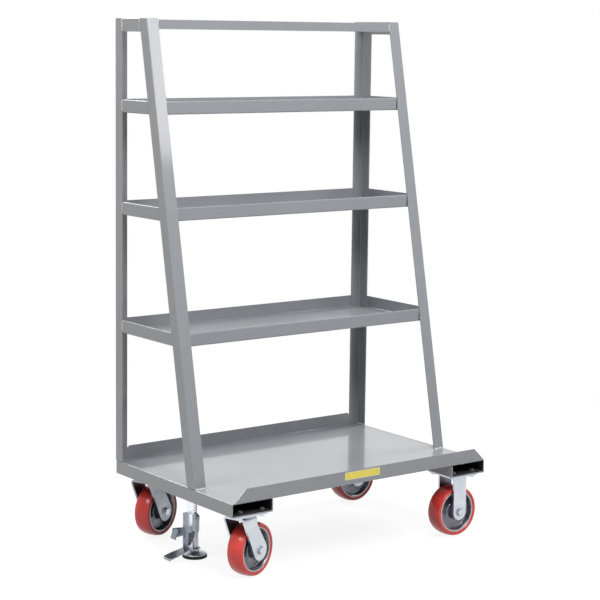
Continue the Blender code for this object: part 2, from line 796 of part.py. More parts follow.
def wheel(prefix, parent):
    """Bushing, core and tread about the local Z axis. A flat of the rim faces down."""
    half_step = pi / WHEEL_SIDES
    bore = AXLE_RADIUS + SEAM
    tube = [
        (BUSHING_RADIUS, BUSHING_HALF),
        (BUSHING_RADIUS, -BUSHING_HALF),
        (bore, -BUSHING_HALF),
        (bore, BUSHING_HALF),
    ]
    turned(f"{prefix}_bushing", tube, dark_steel(), parent, closed=True)

    core_radius = WHEEL_RADIUS - TREAD_DEPTH
    hub_bore = BUSHING_RADIUS + SEAM
    hub_half = BUSHING_HALF - RUNNING
    web_half = CORE_WEB_WALL / 2
    rim_half = CORE_RIM_WIDTH / 2
    rim_inner = core_radius - CORE_RIM_WALL
    upper = [
        (hub_bore, hub_half),
        (CORE_HUB_RADIUS, hub_half),
        (CORE_HUB_RADIUS + CORE_DRAFT, web_half),
        (rim_inner - CORE_DRAFT, web_half),
        (rim_inner, rim_half),
        (core_radius, rim_half),
    ]
    lower = [(radius, -height) for radius, height in reversed(upper)]
    turned(f"{prefix}_core", upper + lower, dark_steel(), parent, WHEEL_SIDES, True, half_step)

    inner = core_radius + SEAM
    half = TREAD_WIDTH / 2
    flat_half = TREAD_FLAT_WIDTH / 2
    shoulder = (flat_half + half) / 2
    upper = [
        (inner, rim_half + RUNNING),
        (inner + CORE_DRAFT, half),
        (WHEEL_RADIUS - TREAD_EDGE_DROP, half),
        (WHEEL_RADIUS - TREAD_SHOULDER_DROP, shoulder),
        (WHEEL_RADIUS, flat_half),
    ]
    lower = [(radius, -height) for radius, height in reversed(upper)]
    turned(f"{prefix}_tread", upper + lower, red_urethane(), parent, WHEEL_SIDES, True, half_step)


def swivel_caster(corner, x, y, turn):
    """Swivel caster. The fork trails along its local +X, turned as in the photograph."""
    prefix = f"caster_{corner}"
    caster_plate(f"{prefix}_plate", x, y, KINGPIN_RADIUS + SEAM)
    swivel = add_empty(f"{prefix}_swivel", (x, y, 0.0), turn)

    race_top = CASTER_PLATE_BOTTOM - SEAM
    race_bottom = race_top - RACE_HEIGHT
    bore = KINGPIN_RADIUS + SEAM
    race = [
        (RACE_RADIUS - RACE_LIP, race_top),
        (RACE_RADIUS, race_top - RACE_LIP),
        (RACE_RADIUS, race_bottom + RACE_LIP),
        (RACE_RADIUS - RACE_TAPER, race_bottom),
        (bore, race_bottom),
        (bore, race_top),
    ]
    turned(f"{prefix}_race", race, zinc(), swivel, closed=True)

    crown_top = race_bottom - SEAM
    side = swivel_fork_side(crown_top)
    fork(f"{prefix}_fork", swivel, crown_top, side, bore)
    nut_top = crown_top - FORK_WALL - SEAM
    kingpin = [
        (0.0, PLATE_TOP - SEAM),
        (KINGPIN_RADIUS, PLATE_TOP - SEAM),
        (KINGPIN_RADIUS, nut_top),
        (KINGPIN_NUT_RADIUS, nut_top),
        (KINGPIN_NUT_RADIUS, nut_top - KINGPIN_NUT_HEIGHT),
        (0.0, nut_top - KINGPIN_NUT_HEIGHT),
    ]
    turned(f"{prefix}_kingpin", kingpin, zinc(), swivel)
    spin = add_empty(f"{prefix}_spin", (TRAIL, 0.0, AXLE_HEIGHT), tilt=pi / 2, parent=swivel)
    axle(f"{prefix}_axle", spin)
    wheel(prefix, spin)


def rigid_caster(corner, x, y):
    """Rigid caster: the fork's crown sits flat under the plate."""
    prefix = f"caster_{corner}"
    caster_plate(f"{prefix}_plate", x, y, 0.0)
    mount = add_empty(f"{prefix}_mount", (x, y, 0.0))
    crown_top = CASTER_PLATE_BOTTOM - SEAM
    fork(f"{prefix}_fork", mount, crown_top, rigid_fork_side(crown_top), 0.0)
    spin = add_empty(f"{prefix}_spin", (0.0, 0.0, AXLE_HEIGHT), tilt=pi / 2, parent=mount)
    axle(f"{prefix}_axle", spin)
    wheel(prefix, spin)


# Floor lock, in a frame on the floor under its plunger


def lock_plate(base):
    """Top plate of the floor lock, with its four bolts."""
    half_x, half_y = LOCK_PLATE_X / 2, LOCK_PLATE_Y / 2
    outline = rounded_rectangle(-half_x, -half_y, half_x, half_y, CASTER_PLATE_CORNER)
    mesh = prism_mesh("lock_plate", [outline], LOCK_PLATE_BOTTOM, PLATE_TOP)
    plate = add_part("lock_plate", mesh, zinc(), base)
    add_bolts(plate, bolt_places(0.0, 0.0, LOCK_BOLTS_X, LOCK_BOLTS_Y), LOCK_PLATE_BOTTOM)


def lock_housing(base):
    """Upright angle under the plate, with a hole for the release pin in its rear side."""
    half = HOUSING_WIDTH / 2
    reach = HOUSING_LIP_X + HOUSING_WEB_X
    outline = angle_outline(reach, HOUSING_WIDTH, HOUSING_WALL, HOUSING_BEND_RADIUS, HOUSING_FILLET_RADIUS)
    outline = moved(mirrored(outline, False, True), -HOUSING_WEB_X, half)
    mesh = prism_mesh("lock_housing", [outline], HOUSING_BOTTOM, LOCK_PLATE_BOTTOM - SEAM)
    housing = add_part("lock_housing", mesh, zinc(), base)
    hole = circle((-RELEASE_PIVOT_X, RELEASE_PIVOT_Z), PIN_RADIUS + SEAM)
    drill = prism_mesh("cut_release_pin", [hole], -half - OVERRUN, 2 * HOUSING_WALL - half, XZ_PLANE)
    boolean(housing, add_cutter("cut_release_pin", drill, base))


def sleeve_radius():
    """The sleeve just clears the housing's web."""
    return HOUSING_WEB_X - HOUSING_WALL - SEAM


def sleeve_top():
    return SLEEVE_BOTTOM + SLEEVE_HEIGHT


def lock_sleeve(base):
    """Guide barrel beside the housing's web, bored for the plunger."""
    bore = PLUNGER_RADIUS + SEAM
    profile = [
        (sleeve_radius(), sleeve_top()),
        (sleeve_radius() - SLEEVE_TAPER, SLEEVE_BOTTOM),
        (bore, SLEEVE_BOTTOM),
        (bore, sleeve_top()),
    ]
    turned("lock_sleeve", profile, zinc(), base, closed=True)


def cap_top():
    return sleeve_top() + SEAM + PLUNGER_CAP_HEIGHT


def lock_plunger(base):
    """Plunger with a cap that rests on the sleeve, and a stud down into the foot."""
    cap_bottom = sleeve_top() + SEAM
    profile = [
        (0.0, cap_top()),
        (PLUNGER_CAP_TOP_RADIUS, cap_top()),
        (sleeve_radius(), cap_bottom + PLUNGER_CAP_RIM),
        (sleeve_radius(), cap_bottom),
        (PLUNGER_RADIUS, cap_bottom),
        (PLUNGER_RADIUS, PEDAL_TOP + SEAM),
        (STUD_RADIUS, PEDAL_TOP + SEAM),
        (STUD_RADIUS, CUP_BOTTOM + CUP_FLOOR + SEAM),
        (0.0, CUP_BOTTOM + CUP_FLOOR + SEAM),
    ]
    turned("lock_plunger", profile, zinc(), base)


def lock_spring(base):
    """Pull-up spring from the plunger's cap to the top plate, one unbroken helix with level ends."""
    low = cap_top() + SEAM + SPRING_WIRE_RADIUS
    high = LOCK_PLATE_BOTTOM - SEAM - SPRING_WIRE_RADIUS
    count = SPRING_TURNS * SPRING_POINTS_PER_TURN
    level = SPRING_POINTS_PER_TURN // 4
    rising = count - 2 * level
    points = []
    for i in range(count + 1):
        turn = 2 * pi * i / SPRING_POINTS_PER_TURN
        share = min(max(i - level, 0), rising) / rising
        points.append((SPRING_RADIUS * cos(turn), SPRING_RADIUS * sin(turn), low + (high - low) * share))
    rises = [after[2] - before[2] for before, after in zip(points, points[SPRING_POINTS_PER_TURN:])]
    print(f"lock_spring: least gap between turns {min(rises) - 2 * SPRING_WIRE_RADIUS:.5f} m")
    curve = bpy.data.curves.new("lock_spring", "CURVE")
    curve.dimensions = "3D"
    curve.bevel_depth = SPRING_WIRE_RADIUS
    curve.bevel_resolution = 1
    curve.use_fill_caps = True
    spline = curve.splines.new("POLY")
    spline.points.add(len(points) - 1)
    for point, place in zip(spline.points, points):
        point.co = (*place, 1.0)
    curve.materials.append(zinc())
    spring = bpy.data.objects.new("lock_spring", curve)
    bpy.data.collections["panel_cart"].objects.link(spring)
    spring.parent = base


def lock_foot(base):
    """Rubber pad and the steel cup above it."""
    pad = [
        (0.0, PAD_HEIGHT),
        (PAD_RADIUS, PAD_HEIGHT),
        (PAD_RADIUS, PAD_CHAMFER),
        (PAD_RADIUS - PAD_CHAMFER, 0.0),
        (0.0, 0.0),
    ]
    turned("lock_pad", pad, black_rubber(), base)
    bore = STUD_RADIUS + SEAM
    cup = [
        (0.0, CUP_BOTTOM + CUP_FLOOR),
        (bore, CUP_BOTTOM + CUP_FLOOR),
        (bore, CUP_TOP),
        (CUP_NECK_RADIUS, CUP_TOP),
        (CUP_NECK_RADIUS, CUP_BOTTOM + CUP_SHOULDER_HEIGHT),
        (CUP_RIM_RADIUS, CUP_BOTTOM + CUP_RIM_HEIGHT),
        (CUP_RIM_RADIUS, CUP_BOTTOM),
        (0.0, CUP_BOTTOM),
    ]
    turned("lock_cup", cup, zinc(), base)


def lock_pedal(base):
    """Foot pedal clamped on the stud: a strip that dips towards its tip, wider at the tip."""
    bend_x = -PEDAL_NECK_LENGTH
    tip_top = PEDAL_TOP - PEDAL_DROP
    side = [
        (PEDAL_NECK_HALF_WIDTH, PEDAL_TOP),
        (bend_x, PEDAL_TOP),
        (-PEDAL_REACH, tip_top),
        (-PEDAL_REACH, tip_top - PEDAL_WALL - PEDAL_TIP_LIP),
        (PEDAL_WALL - PEDAL_REACH, tip_top - PEDAL_WALL - PEDAL_TIP_LIP),
        (PEDAL_WALL - PEDAL_REACH, tip_top - PEDAL_WALL),
        (bend_x, PEDAL_BOTTOM),
        (PEDAL_NECK_HALF_WIDTH, PEDAL_BOTTOM),
    ]
    reach = PEDAL_HALF_WIDTH + OVERRUN
    pedal = add_part("lock_pedal", prism_mesh("lock_pedal", [side], -reach, reach, XZ_PLANE), zinc(), base)
    corner_x = PEDAL_CORNER - PEDAL_REACH
    corner_y = PEDAL_HALF_WIDTH - PEDAL_CORNER
    flare_x = bend_x - PEDAL_NECK_LENGTH
    outline = (
        arc((0.0, 0.0), PEDAL_NECK_HALF_WIDTH, -pi / 2, pi / 2, 8)
        + [(bend_x, PEDAL_NECK_HALF_WIDTH), (flare_x, PEDAL_HALF_WIDTH)]
        + arc((corner_x, corner_y), PEDAL_CORNER, pi / 2, pi)
        + arc((corner_x, -corner_y), PEDAL_CORNER, pi, 3 * pi / 2)
        + [(flare_x, -PEDAL_HALF_WIDTH), (bend_x, -PEDAL_NECK_HALF_WIDTH)]
    )
    hole = circle((0.0, 0.0), STUD_RADIUS + SEAM, ROUND_STEPS)
    low = PEDAL_BOTTOM - PEDAL_DROP - PEDAL_TIP_LIP - OVERRUN
    plan = prism_mesh("pedal_plan", [outline, hole], low, PEDAL_TOP + OVERRUN)
    boolean(pedal, add_cutter("pedal_plan", plan, base), "INTERSECT")


def lock_stem(base):
    """Upright angle on the pedal that slides in front of the housing's web."""
    leg_x = STEM_WALL + STEM_SIDE_LIP
    outline = angle_outline(leg_x, 2 * STEM_HALF_WIDTH, STEM_WALL, STEM_WALL / 2, STEM_WALL / 2)
    back = -HOUSING_WEB_X - SEAM
    outline = moved(mirrored(outline, True, True), back, STEM_HALF_WIDTH)
    bottom = PEDAL_TOP + SEAM
    add_part("lock_stem", prism_mesh("lock_stem", [outline], bottom, bottom + STEM_HEIGHT), zinc(), base)


def release_arm_face():
    """Y of the release arm's inner face, beside the housing's rear side."""
    return HOUSING_WIDTH / 2 + SEAM


def lock_release(base):
    """Release lever: an arm on the rear pin, with a small tilted pedal across its end."""
    pivot = (-RELEASE_PIVOT_X, RELEASE_PIVOT_Z)
    inner = release_arm_face()
    outer = inner + RELEASE_ARM_WALL
    end_x = -RELEASE_PIVOT_X - RELEASE_ARM_LENGTH
    half = RELEASE_ARM_HEIGHT / 2
    outline = (
        [(end_x, pivot[1] + half), (end_x, pivot[1] - half)]
        + arc(pivot, RELEASE_ARM_END_RADIUS, -pi / 2, pi / 2, 8)
    )
    hole = circle(pivot, PIN_RADIUS + SEAM)
    lever = add_part(
        "lock_release", prism_mesh("lock_release", [outline, hole], -outer, -inner, XZ_PLANE), zinc(), base
    )
    low = (-RELEASE_PAD_WALL, outer - RELEASE_PAD_WIDTH, -RELEASE_PAD_LENGTH / 2)
    pad = box_mesh("release_pad", low, (0.0, outer, RELEASE_PAD_LENGTH / 2))
    pad.transform(Matrix.Rotation(RELEASE_PAD_TILT, 4, "Y"))
    pad.transform(Matrix.Translation((end_x + RELEASE_PAD_WALL / 2, 0.0, RELEASE_PIVOT_Z)))
    boolean(lever, add_cutter("release_pad", pad, base), "UNION")

    pin = [
        (0.0, outer + SEAM + PIN_HEAD_HEIGHT),
        (PIN_HEAD_RADIUS, outer + SEAM + PIN_HEAD_HEIGHT),
        (PIN_HEAD_RADIUS, outer + SEAM),
        (PIN_RADIUS, outer + SEAM),
        (PIN_RADIUS, HOUSING_WIDTH / 2 - HOUSING_WALL),
        (0.0, HOUSING_WIDTH / 2 - HOUSING_WALL),
    ]
    place = Matrix.Translation((*pivot[:1], 0.0, pivot[1])) @ Matrix.Rotation(-pi / 2, 4, "X")
    turned("lock_release_pin", pin, zinc(), base, HOLE_STEPS, place=place)


def lock_catch(base):
    """Catch plate at the housing web's front edge, drawn in at its foot, with a hole there."""
    middle = CATCH_HALF_WIDTH - CATCH_REACH
    foot = (middle, CATCH_TOP - CATCH_HEIGHT + CATCH_FOOT_RADIUS)
    outline = [(middle + CATCH_HALF_WIDTH, CATCH_TOP), (middle - CATCH_HALF_WIDTH, CATCH_TOP)]
    outline += arc(foot, CATCH_FOOT_RADIUS, pi, 2 * pi, 6)
    hole = circle(foot, CATCH_HOLE_RADIUS)
    inner = HOUSING_WIDTH / 2 + SEAM
    mesh = prism_mesh("lock_catch", [outline, hole], inner, inner + CATCH_WALL, XZ_PLANE)
    add_part("lock_catch", mesh, dark_steel(), base)


def floor_lock():
    base = add_empty("floor_lock", (LOCK_X, 0.0, 0.0))
    lock_plate(base)
    lock_housing(base)
    lock_sleeve(base)
    lock_plunger(base)
    lock_spring(base)
    lock_foot(base)
    lock_pedal(base)
    lock_stem(base)
    lock_release(base)
    lock_catch(base)


def build():
    clear_scene()
    new_collection("panel_cart")
    new_collection("cutters")
    deck_pan()
    deck_channels()
    posts()
    clearances = post_clearances()
    top_rails(clearances)
    top_bar()
    for name, underside in SHELF_UNDERSIDES.items():
        shelf(name, underside, clearances)
    for corner, (x, y, turn) in SWIVEL_CASTERS.items():
        swivel_caster(corner, x, y, turn)
    for corner, (x, y) in RIGID_CASTERS.items():
        rigid_caster(corner, x, y)
    floor_lock()


build()
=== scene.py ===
"""Looks of the a-frame panel cart: painted sheet steel, zinc casters, red wheels and a floor lock.

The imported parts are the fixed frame. Sheet-metal parts are shown as copies with eased edges.
Round and bent parts are shown as finer surfaces worked out with numpy. Everything is in metres.
"""

import json
from math import cos, pi, radians, sin

import bmesh
import bpy
import numpy as np
from mathutils import Matrix, Vector


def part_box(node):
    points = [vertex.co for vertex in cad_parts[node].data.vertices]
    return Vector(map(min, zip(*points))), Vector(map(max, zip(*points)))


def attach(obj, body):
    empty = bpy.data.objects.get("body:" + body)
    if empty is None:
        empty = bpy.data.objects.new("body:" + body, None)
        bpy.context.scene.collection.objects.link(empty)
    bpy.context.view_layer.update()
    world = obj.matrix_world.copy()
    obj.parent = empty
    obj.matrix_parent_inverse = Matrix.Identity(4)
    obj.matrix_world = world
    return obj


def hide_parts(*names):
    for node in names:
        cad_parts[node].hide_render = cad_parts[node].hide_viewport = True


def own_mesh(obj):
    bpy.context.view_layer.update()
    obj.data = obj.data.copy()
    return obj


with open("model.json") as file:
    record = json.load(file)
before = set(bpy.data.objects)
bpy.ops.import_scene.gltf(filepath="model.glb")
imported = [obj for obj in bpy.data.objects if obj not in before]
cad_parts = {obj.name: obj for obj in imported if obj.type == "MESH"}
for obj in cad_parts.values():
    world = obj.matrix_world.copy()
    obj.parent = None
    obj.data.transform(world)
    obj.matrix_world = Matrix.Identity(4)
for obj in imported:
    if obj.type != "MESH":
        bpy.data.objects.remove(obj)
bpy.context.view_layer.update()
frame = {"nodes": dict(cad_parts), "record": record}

# The photograph's camera, fitted in inches from the deck's front left corner on the floor
INCH = 0.0254
CAMERA_PLACE = (-104.214, -150.170, 58.637)
CAMERA_AZIMUTH = radians(36.873)
CAMERA_PITCH = radians(7.358)
CAMERA_ROLL = radians(0.714)
FOCAL_PIXELS = 1777.87
CENTRE_PIXEL = (300.0, 262.0)
PICTURE = 600.0
SENSOR_MM = 36.0
SIGHT = 60.0

SWIVEL_TURNS = {"front_left": radians(18), "rear_left": radians(21)}
CORNERS = ("front_left", "rear_left", "front_right", "rear_right")
SHELVES = ("shelf_lower", "shelf_middle", "shelf_upper")


# Where the frame's parts are


def corners(node):
    """Lowest and highest corners of a node, as arrays."""
    low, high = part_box(node)
    return np.array(low, float), np.array(high, float)


def middle(node):
    """Centre of a node's box."""
    low, high = corners(node)
    return (low + high) / 2


def joint_place(name):
    """Centre of a joint."""
    for joint in frame["record"]["behaviour"]["joints"]:
        if joint["name"] == name:
            return np.array(joint["pos_m"], float)
    raise KeyError(name)


def body_of(node):
    """Name of the body that carries a node."""
    for body, nodes in frame["record"]["behaviour"]["bodies"].items():
        if node in nodes:
            return body
    raise KeyError(node)


DECK_LOW, DECK_HIGH = corners("deck_pan")
DECK_TOP = corners("post_rear_left")[0][2]
CHANNEL_WALL = 0.0042
CHANNEL_FLOOR = corners("deck_channel_left")[0][2] + CHANNEL_WALL


# Shader groups that several finishes share


def new_group(name, setting, value, output):
    """Shader node group of a vector and a setting. Returns it, both of them and its output's socket."""
    group = bpy.data.node_groups.new(name, "ShaderNodeTree")
    group.interface.new_socket("Vector", in_out="INPUT", socket_type="NodeSocketVector")
    socket = group.interface.new_socket(setting, in_out="INPUT", socket_type="NodeSocketFloat")
    socket.default_value = value
    group.interface.new_socket(output, in_out="OUTPUT", socket_type="NodeSocketFloat")
    start = group.nodes.new("NodeGroupInput")
    end = group.nodes.new("NodeGroupOutput")
    return group, start.outputs["Vector"], start.outputs[setting], end.inputs[output]


def add(tree, kind, **values):
    """Node with settings by attribute name."""
    node = tree.nodes.new(kind)
    for label, value in values.items():
        setattr(node, label, value)
    return node


def feed(socket, value):
    """Gives a socket a plain value, or a link where the value is another socket."""
    if isinstance(value, bpy.types.NodeSocket):
        socket.id_data.links.new(value, socket)
    else:
        socket.default_value = value


def noise(tree, vector, scale, detail=3.0, roughness=0.5):
    """Noise of a scale, which may be a socket."""
    node = add(tree, "ShaderNodeTexNoise")
    feed(node.inputs["Scale"], scale)
    feed(node.inputs["Detail"], detail)
    feed(node.inputs["Roughness"], roughness)
    feed(node.inputs["Vector"], vector)
    return node.outputs["Fac"]


def ramp(tree, value, low, high, out_low=0.0, out_high=1.0):
    """Linear map from one range to another, held at both ends."""
    node = add(tree, "ShaderNodeMapRange")
    feed(node.inputs["Value"], value)
    feed(node.inputs["From Min"], low)
    feed(node.inputs["From Max"], high)
    feed(node.inputs["To Min"], out_low)
    feed(node.inputs["To Max"], out_high)
    return node.outputs["Result"]


def calc(tree, operation, first, second):
    """One operation on two values, where either may be a plain number."""
    node = add(tree, "ShaderNodeMath", operation=operation)
    feed(node.inputs[0], first)
    feed(node.inputs[1], second)
    return node.outputs[0]


def blend(tree, share, first, second):
    """Mix of two colours by a share from 0 to 1. The colours are the sockets 6 and 7 of that node."""
    node = add(tree, "ShaderNodeMix", data_type="RGBA")
    feed(node.inputs["Factor"], share)
    feed(node.inputs[6], first)
    feed(node.inputs[7], second)
    return node.outputs[2]


def stretched(tree, vector, scale):
    """Coordinates stretched along chosen axes."""
    node = add(tree, "ShaderNodeMapping")
    feed(node.inputs["Scale"], scale)
    feed(node.inputs["Vector"], vector)
    return node.outputs["Vector"]


def powder_texture_group():
    """Orange peel of sprayed paint: a fine swell over a broader one, as a height."""
    group, vector, grain, height = new_group("powder_texture", "Grain", 520.0, "Height")
    fine = noise(group, vector, grain, detail=2.0)
    broad = noise(group, vector, scale=90.0, detail=2.0)
    feed(height, calc(group, "ADD", fine, calc(group, "MULTIPLY", broad, 0.5)))


def rub_marks_group():
    """Thin rubbed streaks in two directions, kept to scattered patches, as a mask."""
    group, vector, amount, mask = new_group("rub_marks", "Amount", 0.5, "Mask")
    along = noise(group, stretched(group, vector, (6.0, 170.0, 60.0)), scale=1.0, detail=4.0, roughness=0.6)
    across = noise(group, stretched(group, vector, (150.0, 9.0, 40.0)), scale=1.0, detail=4.0, roughness=0.6)
    along = ramp(group, along, low=0.62, high=0.74)
    across = ramp(group, across, low=0.64, high=0.76)
    patches = ramp(group, noise(group, vector, scale=5.0, detail=2.0), low=0.48, high=0.66)
    streaks = calc(group, "MULTIPLY", calc(group, "MAXIMUM", along, across), patches)
    feed(mask, calc(group, "MULTIPLY", streaks, amount))


def dust_group():
    """Dust that settles on faces that look up, broken by two sizes of blotch, as a mask."""
    group, vector, amount, mask = new_group("settled_dust", "Amount", 0.5, "Mask")
    parts = add(group, "ShaderNodeSeparateXYZ")
    feed(parts.inputs["Vector"], add(group, "ShaderNodeNewGeometry").outputs["Normal"])
    up = ramp(group, parts.outputs["Z"], low=0.55, high=0.98)
    blotch = ramp(group, noise(group, vector, scale=7.0, detail=5.0, roughness=0.62), low=0.36, high=0.70)
    specks = ramp(group, noise(group, vector, scale=260.0, detail=2.0), low=0.30, high=0.62, out_low=0.6)
    cover = calc(group, "MULTIPLY", up, calc(group, "MULTIPLY", blotch, specks))
    feed(mask, calc(group, "MULTIPLY", cover, amount))


def mottling_group():
    """Slow change of tone over a surface, as a noise about zero."""
    group, vector, scale, tone = new_group("mottling", "Scale", 4.0, "Tone")
    feed(tone, calc(group, "SUBTRACT", noise(group, vector, scale, detail=4.0), 0.5))


for build in (powder_texture_group, rub_marks_group, dust_group, mottling_group):
    build()


# Finishes. Colours are linear red, green and blue, and depths are the real size of a bump


def opaque(colour):
    """Colour with its fourth value."""
    return (*colour, 1.0)


class Finish:
    """Material in the making: its colour and roughness follow slow mottling, with layers over them.

    Reach is how far the mottling goes from zero before both are held at their ends.
    """

    def __init__(self, name, colours, mottling, rough, reach=0.22, **sockets):
        self.material = bpy.data.materials.new(name)
        self.material.use_nodes = True
        self.tree = self.material.node_tree
        self.shader = self.tree.nodes["Principled BSDF"]
        for label, value in sockets.items():
            self.shader.inputs[label.replace("_", " ")].default_value = value
        self.place = add(self.tree, "ShaderNodeTexCoord").outputs["Object"]
        tone = self.group("mottling", Scale=mottling)
        dark, light = map(opaque, colours)
        self.colour = blend(self.tree, ramp(self.tree, tone, -reach, reach), dark, light)
        self.rough = ramp(self.tree, tone, -reach, reach, *rough)

    def group(self, name, **values):
        """One of the shared groups, with its own values."""
        node = add(self.tree, "ShaderNodeGroup", node_tree=bpy.data.node_groups[name])
        feed(node.inputs["Vector"], self.place)
        for label, value in values.items():
            node.inputs[label].default_value = value
        return node.outputs[0]

    def grain(self, scale, **values):
        """Noise on the piece's own coordinates."""
        return noise(self.tree, self.place, scale, **values)

    def layer(self, mask, colour, rougher=0.0):
        """Another colour where the mask says, and rougher there by a number times the mask."""
        self.colour = blend(self.tree, mask, self.colour, opaque(colour))
        if rougher:
            self.rough = calc(self.tree, "ADD", self.rough, calc(self.tree, "MULTIPLY", mask, rougher))

    def done(self, height, depth):
        """Links colour, roughness and a bump to the shader. Returns the material."""
        bump = add(self.tree, "ShaderNodeBump")
        bump.inputs["Distance"].default_value = depth
        feed(bump.inputs["Height"], height)
        feed(self.shader.inputs["Normal"], bump.outputs["Normal"])
        feed(self.shader.inputs["Base Color"], self.colour)
        feed(self.shader.inputs["Roughness"], self.rough)
        return self.material


def gray_paint():
    """Semi-gloss gray powder coat: faint mottling, orange peel, rubbed streaks and settled dust."""
    colours = ((0.276, 0.290, 0.310), (0.300, 0.314, 0.334))
    gloss = {"Coat Weight": 0.80, "Coat Roughness": 0.10, "Specular IOR Level": 0.20}
    paint = Finish("cart_gray_paint", colours, mottling=3.5, rough=(0.29, 0.35), reach=0.25, **gloss)
    paint.layer(paint.group("rub_marks", Amount=0.08), (0.46, 0.47, 0.49), rougher=0.10)
    paint.layer(paint.group("settled_dust", Amount=0.06), (0.50, 0.50, 0.49), rougher=0.25)
    return paint.done(paint.group("powder_texture", Grain=520.0), depth=0.000012)


def dark_primer_and_painted_shade():
    """Near-black finish: painted shade inside the channels and in the gap beside the right front post, and
    the catch pin's own dark colour.
    """
    colours = ((0.020, 0.020, 0.022), (0.040, 0.040, 0.043))
    primer = Finish("dark_primer_and_channel_shade", colours, mottling=30.0, rough=(0.62, 0.75), Specular_IOR_Level=0.2)
    return primer.done(primer.group("powder_texture", Grain=700.0), depth=0.00006)


def weld_highlight_paint():
    """Paler gray over welds as a painted highlight on the beads, with a grainy bump."""
    # the pale end of these colours is a painted highlight
    colours = ((0.44, 0.45, 0.465), (0.74, 0.75, 0.765))
    paint = Finish("weld_painted_highlight", colours, mottling=60.0, rough=(0.20, 0.36), reach=0.2)
    return paint.done(paint.group("powder_texture", Grain=900.0), depth=0.00012)


def zinc(name, pale, deep, rough):
    """Bright zinc plate: soft cloudy tone, fine rolling lines and small rubbed marks."""
    plate = Finish(name, (deep, pale), mottling=22.0, rough=(rough + 0.12, rough), Metallic=1.0)
    plate.layer(plate.group("rub_marks", Amount=0.5), (0.42, 0.43, 0.45), rougher=0.2)
    rolled = stretched(plate.tree, plate.place, (900.0, 900.0, 60.0))
    return plate.done(noise(plate.tree, rolled, scale=1.0, detail=2.0), depth=0.00002)


def core_iron():
    """Dark painted cast core of the wheels: a grainy skin that catches light on its high spots, mottled with
    lighter bluish blotches that are painted reflections.
    """
    # the light end of the mottling is a painted reflection
    colours = ((0.076, 0.077, 0.094), (0.300, 0.300, 0.350))
    core = Finish("dark_core_iron_painted_glints", colours, mottling=40.0, rough=(0.14, 0.30), Metallic=0.6)
    core.layer(core.group("settled_dust", Amount=0.2), (0.20, 0.19, 0.18))
    return core.done(core.grain(420.0, roughness=0.6), depth=0.00025)


def rim_metal():
    """Pale turned rim between the core and the tread, with a fine grain."""
    colours = ((0.46, 0.42, 0.42), (0.60, 0.56, 0.57))
    rim = Finish("pale_rim_metal", colours, mottling=30.0, rough=(0.30, 0.42), Metallic=0.35)
    return rim.done(rim.grain(1200.0, detail=2.0), depth=0.00005)


def red_urethane():
    """Glossy red cast urethane, with duller scuffs in scattered patches."""
    colours = ((0.75, 0.050, 0.043), (0.89, 0.078, 0.066))
    red = Finish("red_urethane_tread", colours, mottling=28.0, rough=(0.13, 0.19), Specular_IOR_Level=0.38)
    scuff = red.grain(180.0, detail=5.0, roughness=0.65)
    patches = ramp(red.tree, red.grain(26.0, detail=2.0), low=0.50, high=0.68)
    patches = calc(red.tree, "MULTIPLY", patches, 0.35)
    worn = calc(red.tree, "MULTIPLY", ramp(red.tree, scuff, low=0.56, high=0.72), patches)
    red.layer(worn, (0.34, 0.13, 0.11), rougher=0.4)
    return red.done(scuff, depth=0.00006)


def black_rubber():
    """Moulded black rubber of the lock's pad."""
    colours = ((0.012, 0.012, 0.012), (0.035, 0.034, 0.033))
    rubber = Finish("black_pad_rubber", colours, mottling=60.0, rough=(0.62, 0.82))
    return rubber.done(rubber.grain(900.0), depth=0.00010)


def dark_catch_steel_and_shade():
    """Blackened steel of the catch, rubbed to bare metal in small patches. It is also painted shade on the
    caster plates' parts inside the channels.
    """
    colours = ((0.10, 0.095, 0.11), (0.20, 0.19, 0.21))
    steel = Finish("dark_catch_steel_and_shade", colours, mottling=90.0, rough=(0.34, 0.50), Metallic=0.8)
    steel.layer(steel.group("rub_marks", Amount=0.8), (0.50, 0.50, 0.52))
    return steel.done(steel.grain(800.0), depth=0.00006)


def label_vinyl(name, dull, bright):
    """Plain vinyl label with no print: a slow change of tone and a lightly scuffed gloss."""
    vinyl = Finish(name, (dull, bright), mottling=18.0, rough=(0.24, 0.36))
    return vinyl.done(vinyl.grain(600.0, detail=2.0), depth=0.00002)


PAINT = gray_paint()
WELD_PAINTED_HIGHLIGHT = weld_highlight_paint()
PRIMER_AND_PAINTED_SHADE = dark_primer_and_painted_shade()
ZINC = zinc("bright_zinc", pale=(0.66, 0.69, 0.735), deep=(0.535, 0.575, 0.63), rough=0.24)
# dull zinc, also painted shade on the rear right fork
ZINC_DULL_AND_SHADE = zinc("dull_zinc_and_painted_shade", pale=(0.54, 0.56, 0.61), deep=(0.38, 0.40, 0.46), rough=0.30)
# deep zinc, also painted shade on the rear left fork and on the lock stem's front and rear faces
ZINC_DEEP_AND_SHADE = zinc("deep_zinc_and_painted_shade", pale=(0.37, 0.39, 0.43), deep=(0.22, 0.24, 0.275), rough=0.22)
# darker zinc that paints the shade on the forks' inner faces
ZINC_PAINTED_SHADE = zinc("zinc_painted_shade", pale=(0.20, 0.20, 0.23), deep=(0.09, 0.09, 0.11), rough=0.30)
# bluish zinc of the lock, brightened beyond the other zincs as a painted highlight
ZINC_BLUE_PAINTED_HIGHLIGHT = zinc("blue_zinc_painted_highlight", pale=(0.90, 0.94, 1.0), deep=(0.60, 0.66, 0.76), rough=0.26)
CORE = core_iron()
RIM = rim_metal()
RED = red_urethane()
RUBBER = black_rubber()
CATCH_STEEL_AND_SHADE = dark_catch_steel_and_shade()
LABEL = label_vinyl("plain_yellow_label", dull=(0.86, 0.72, 0.10), bright=(0.92, 0.78, 0.14))
LABEL_EDGE = label_vinyl("pale_label_edge", dull=(0.84, 0.80, 0.58), bright=(0.88, 0.84, 0.62))


# Making pieces

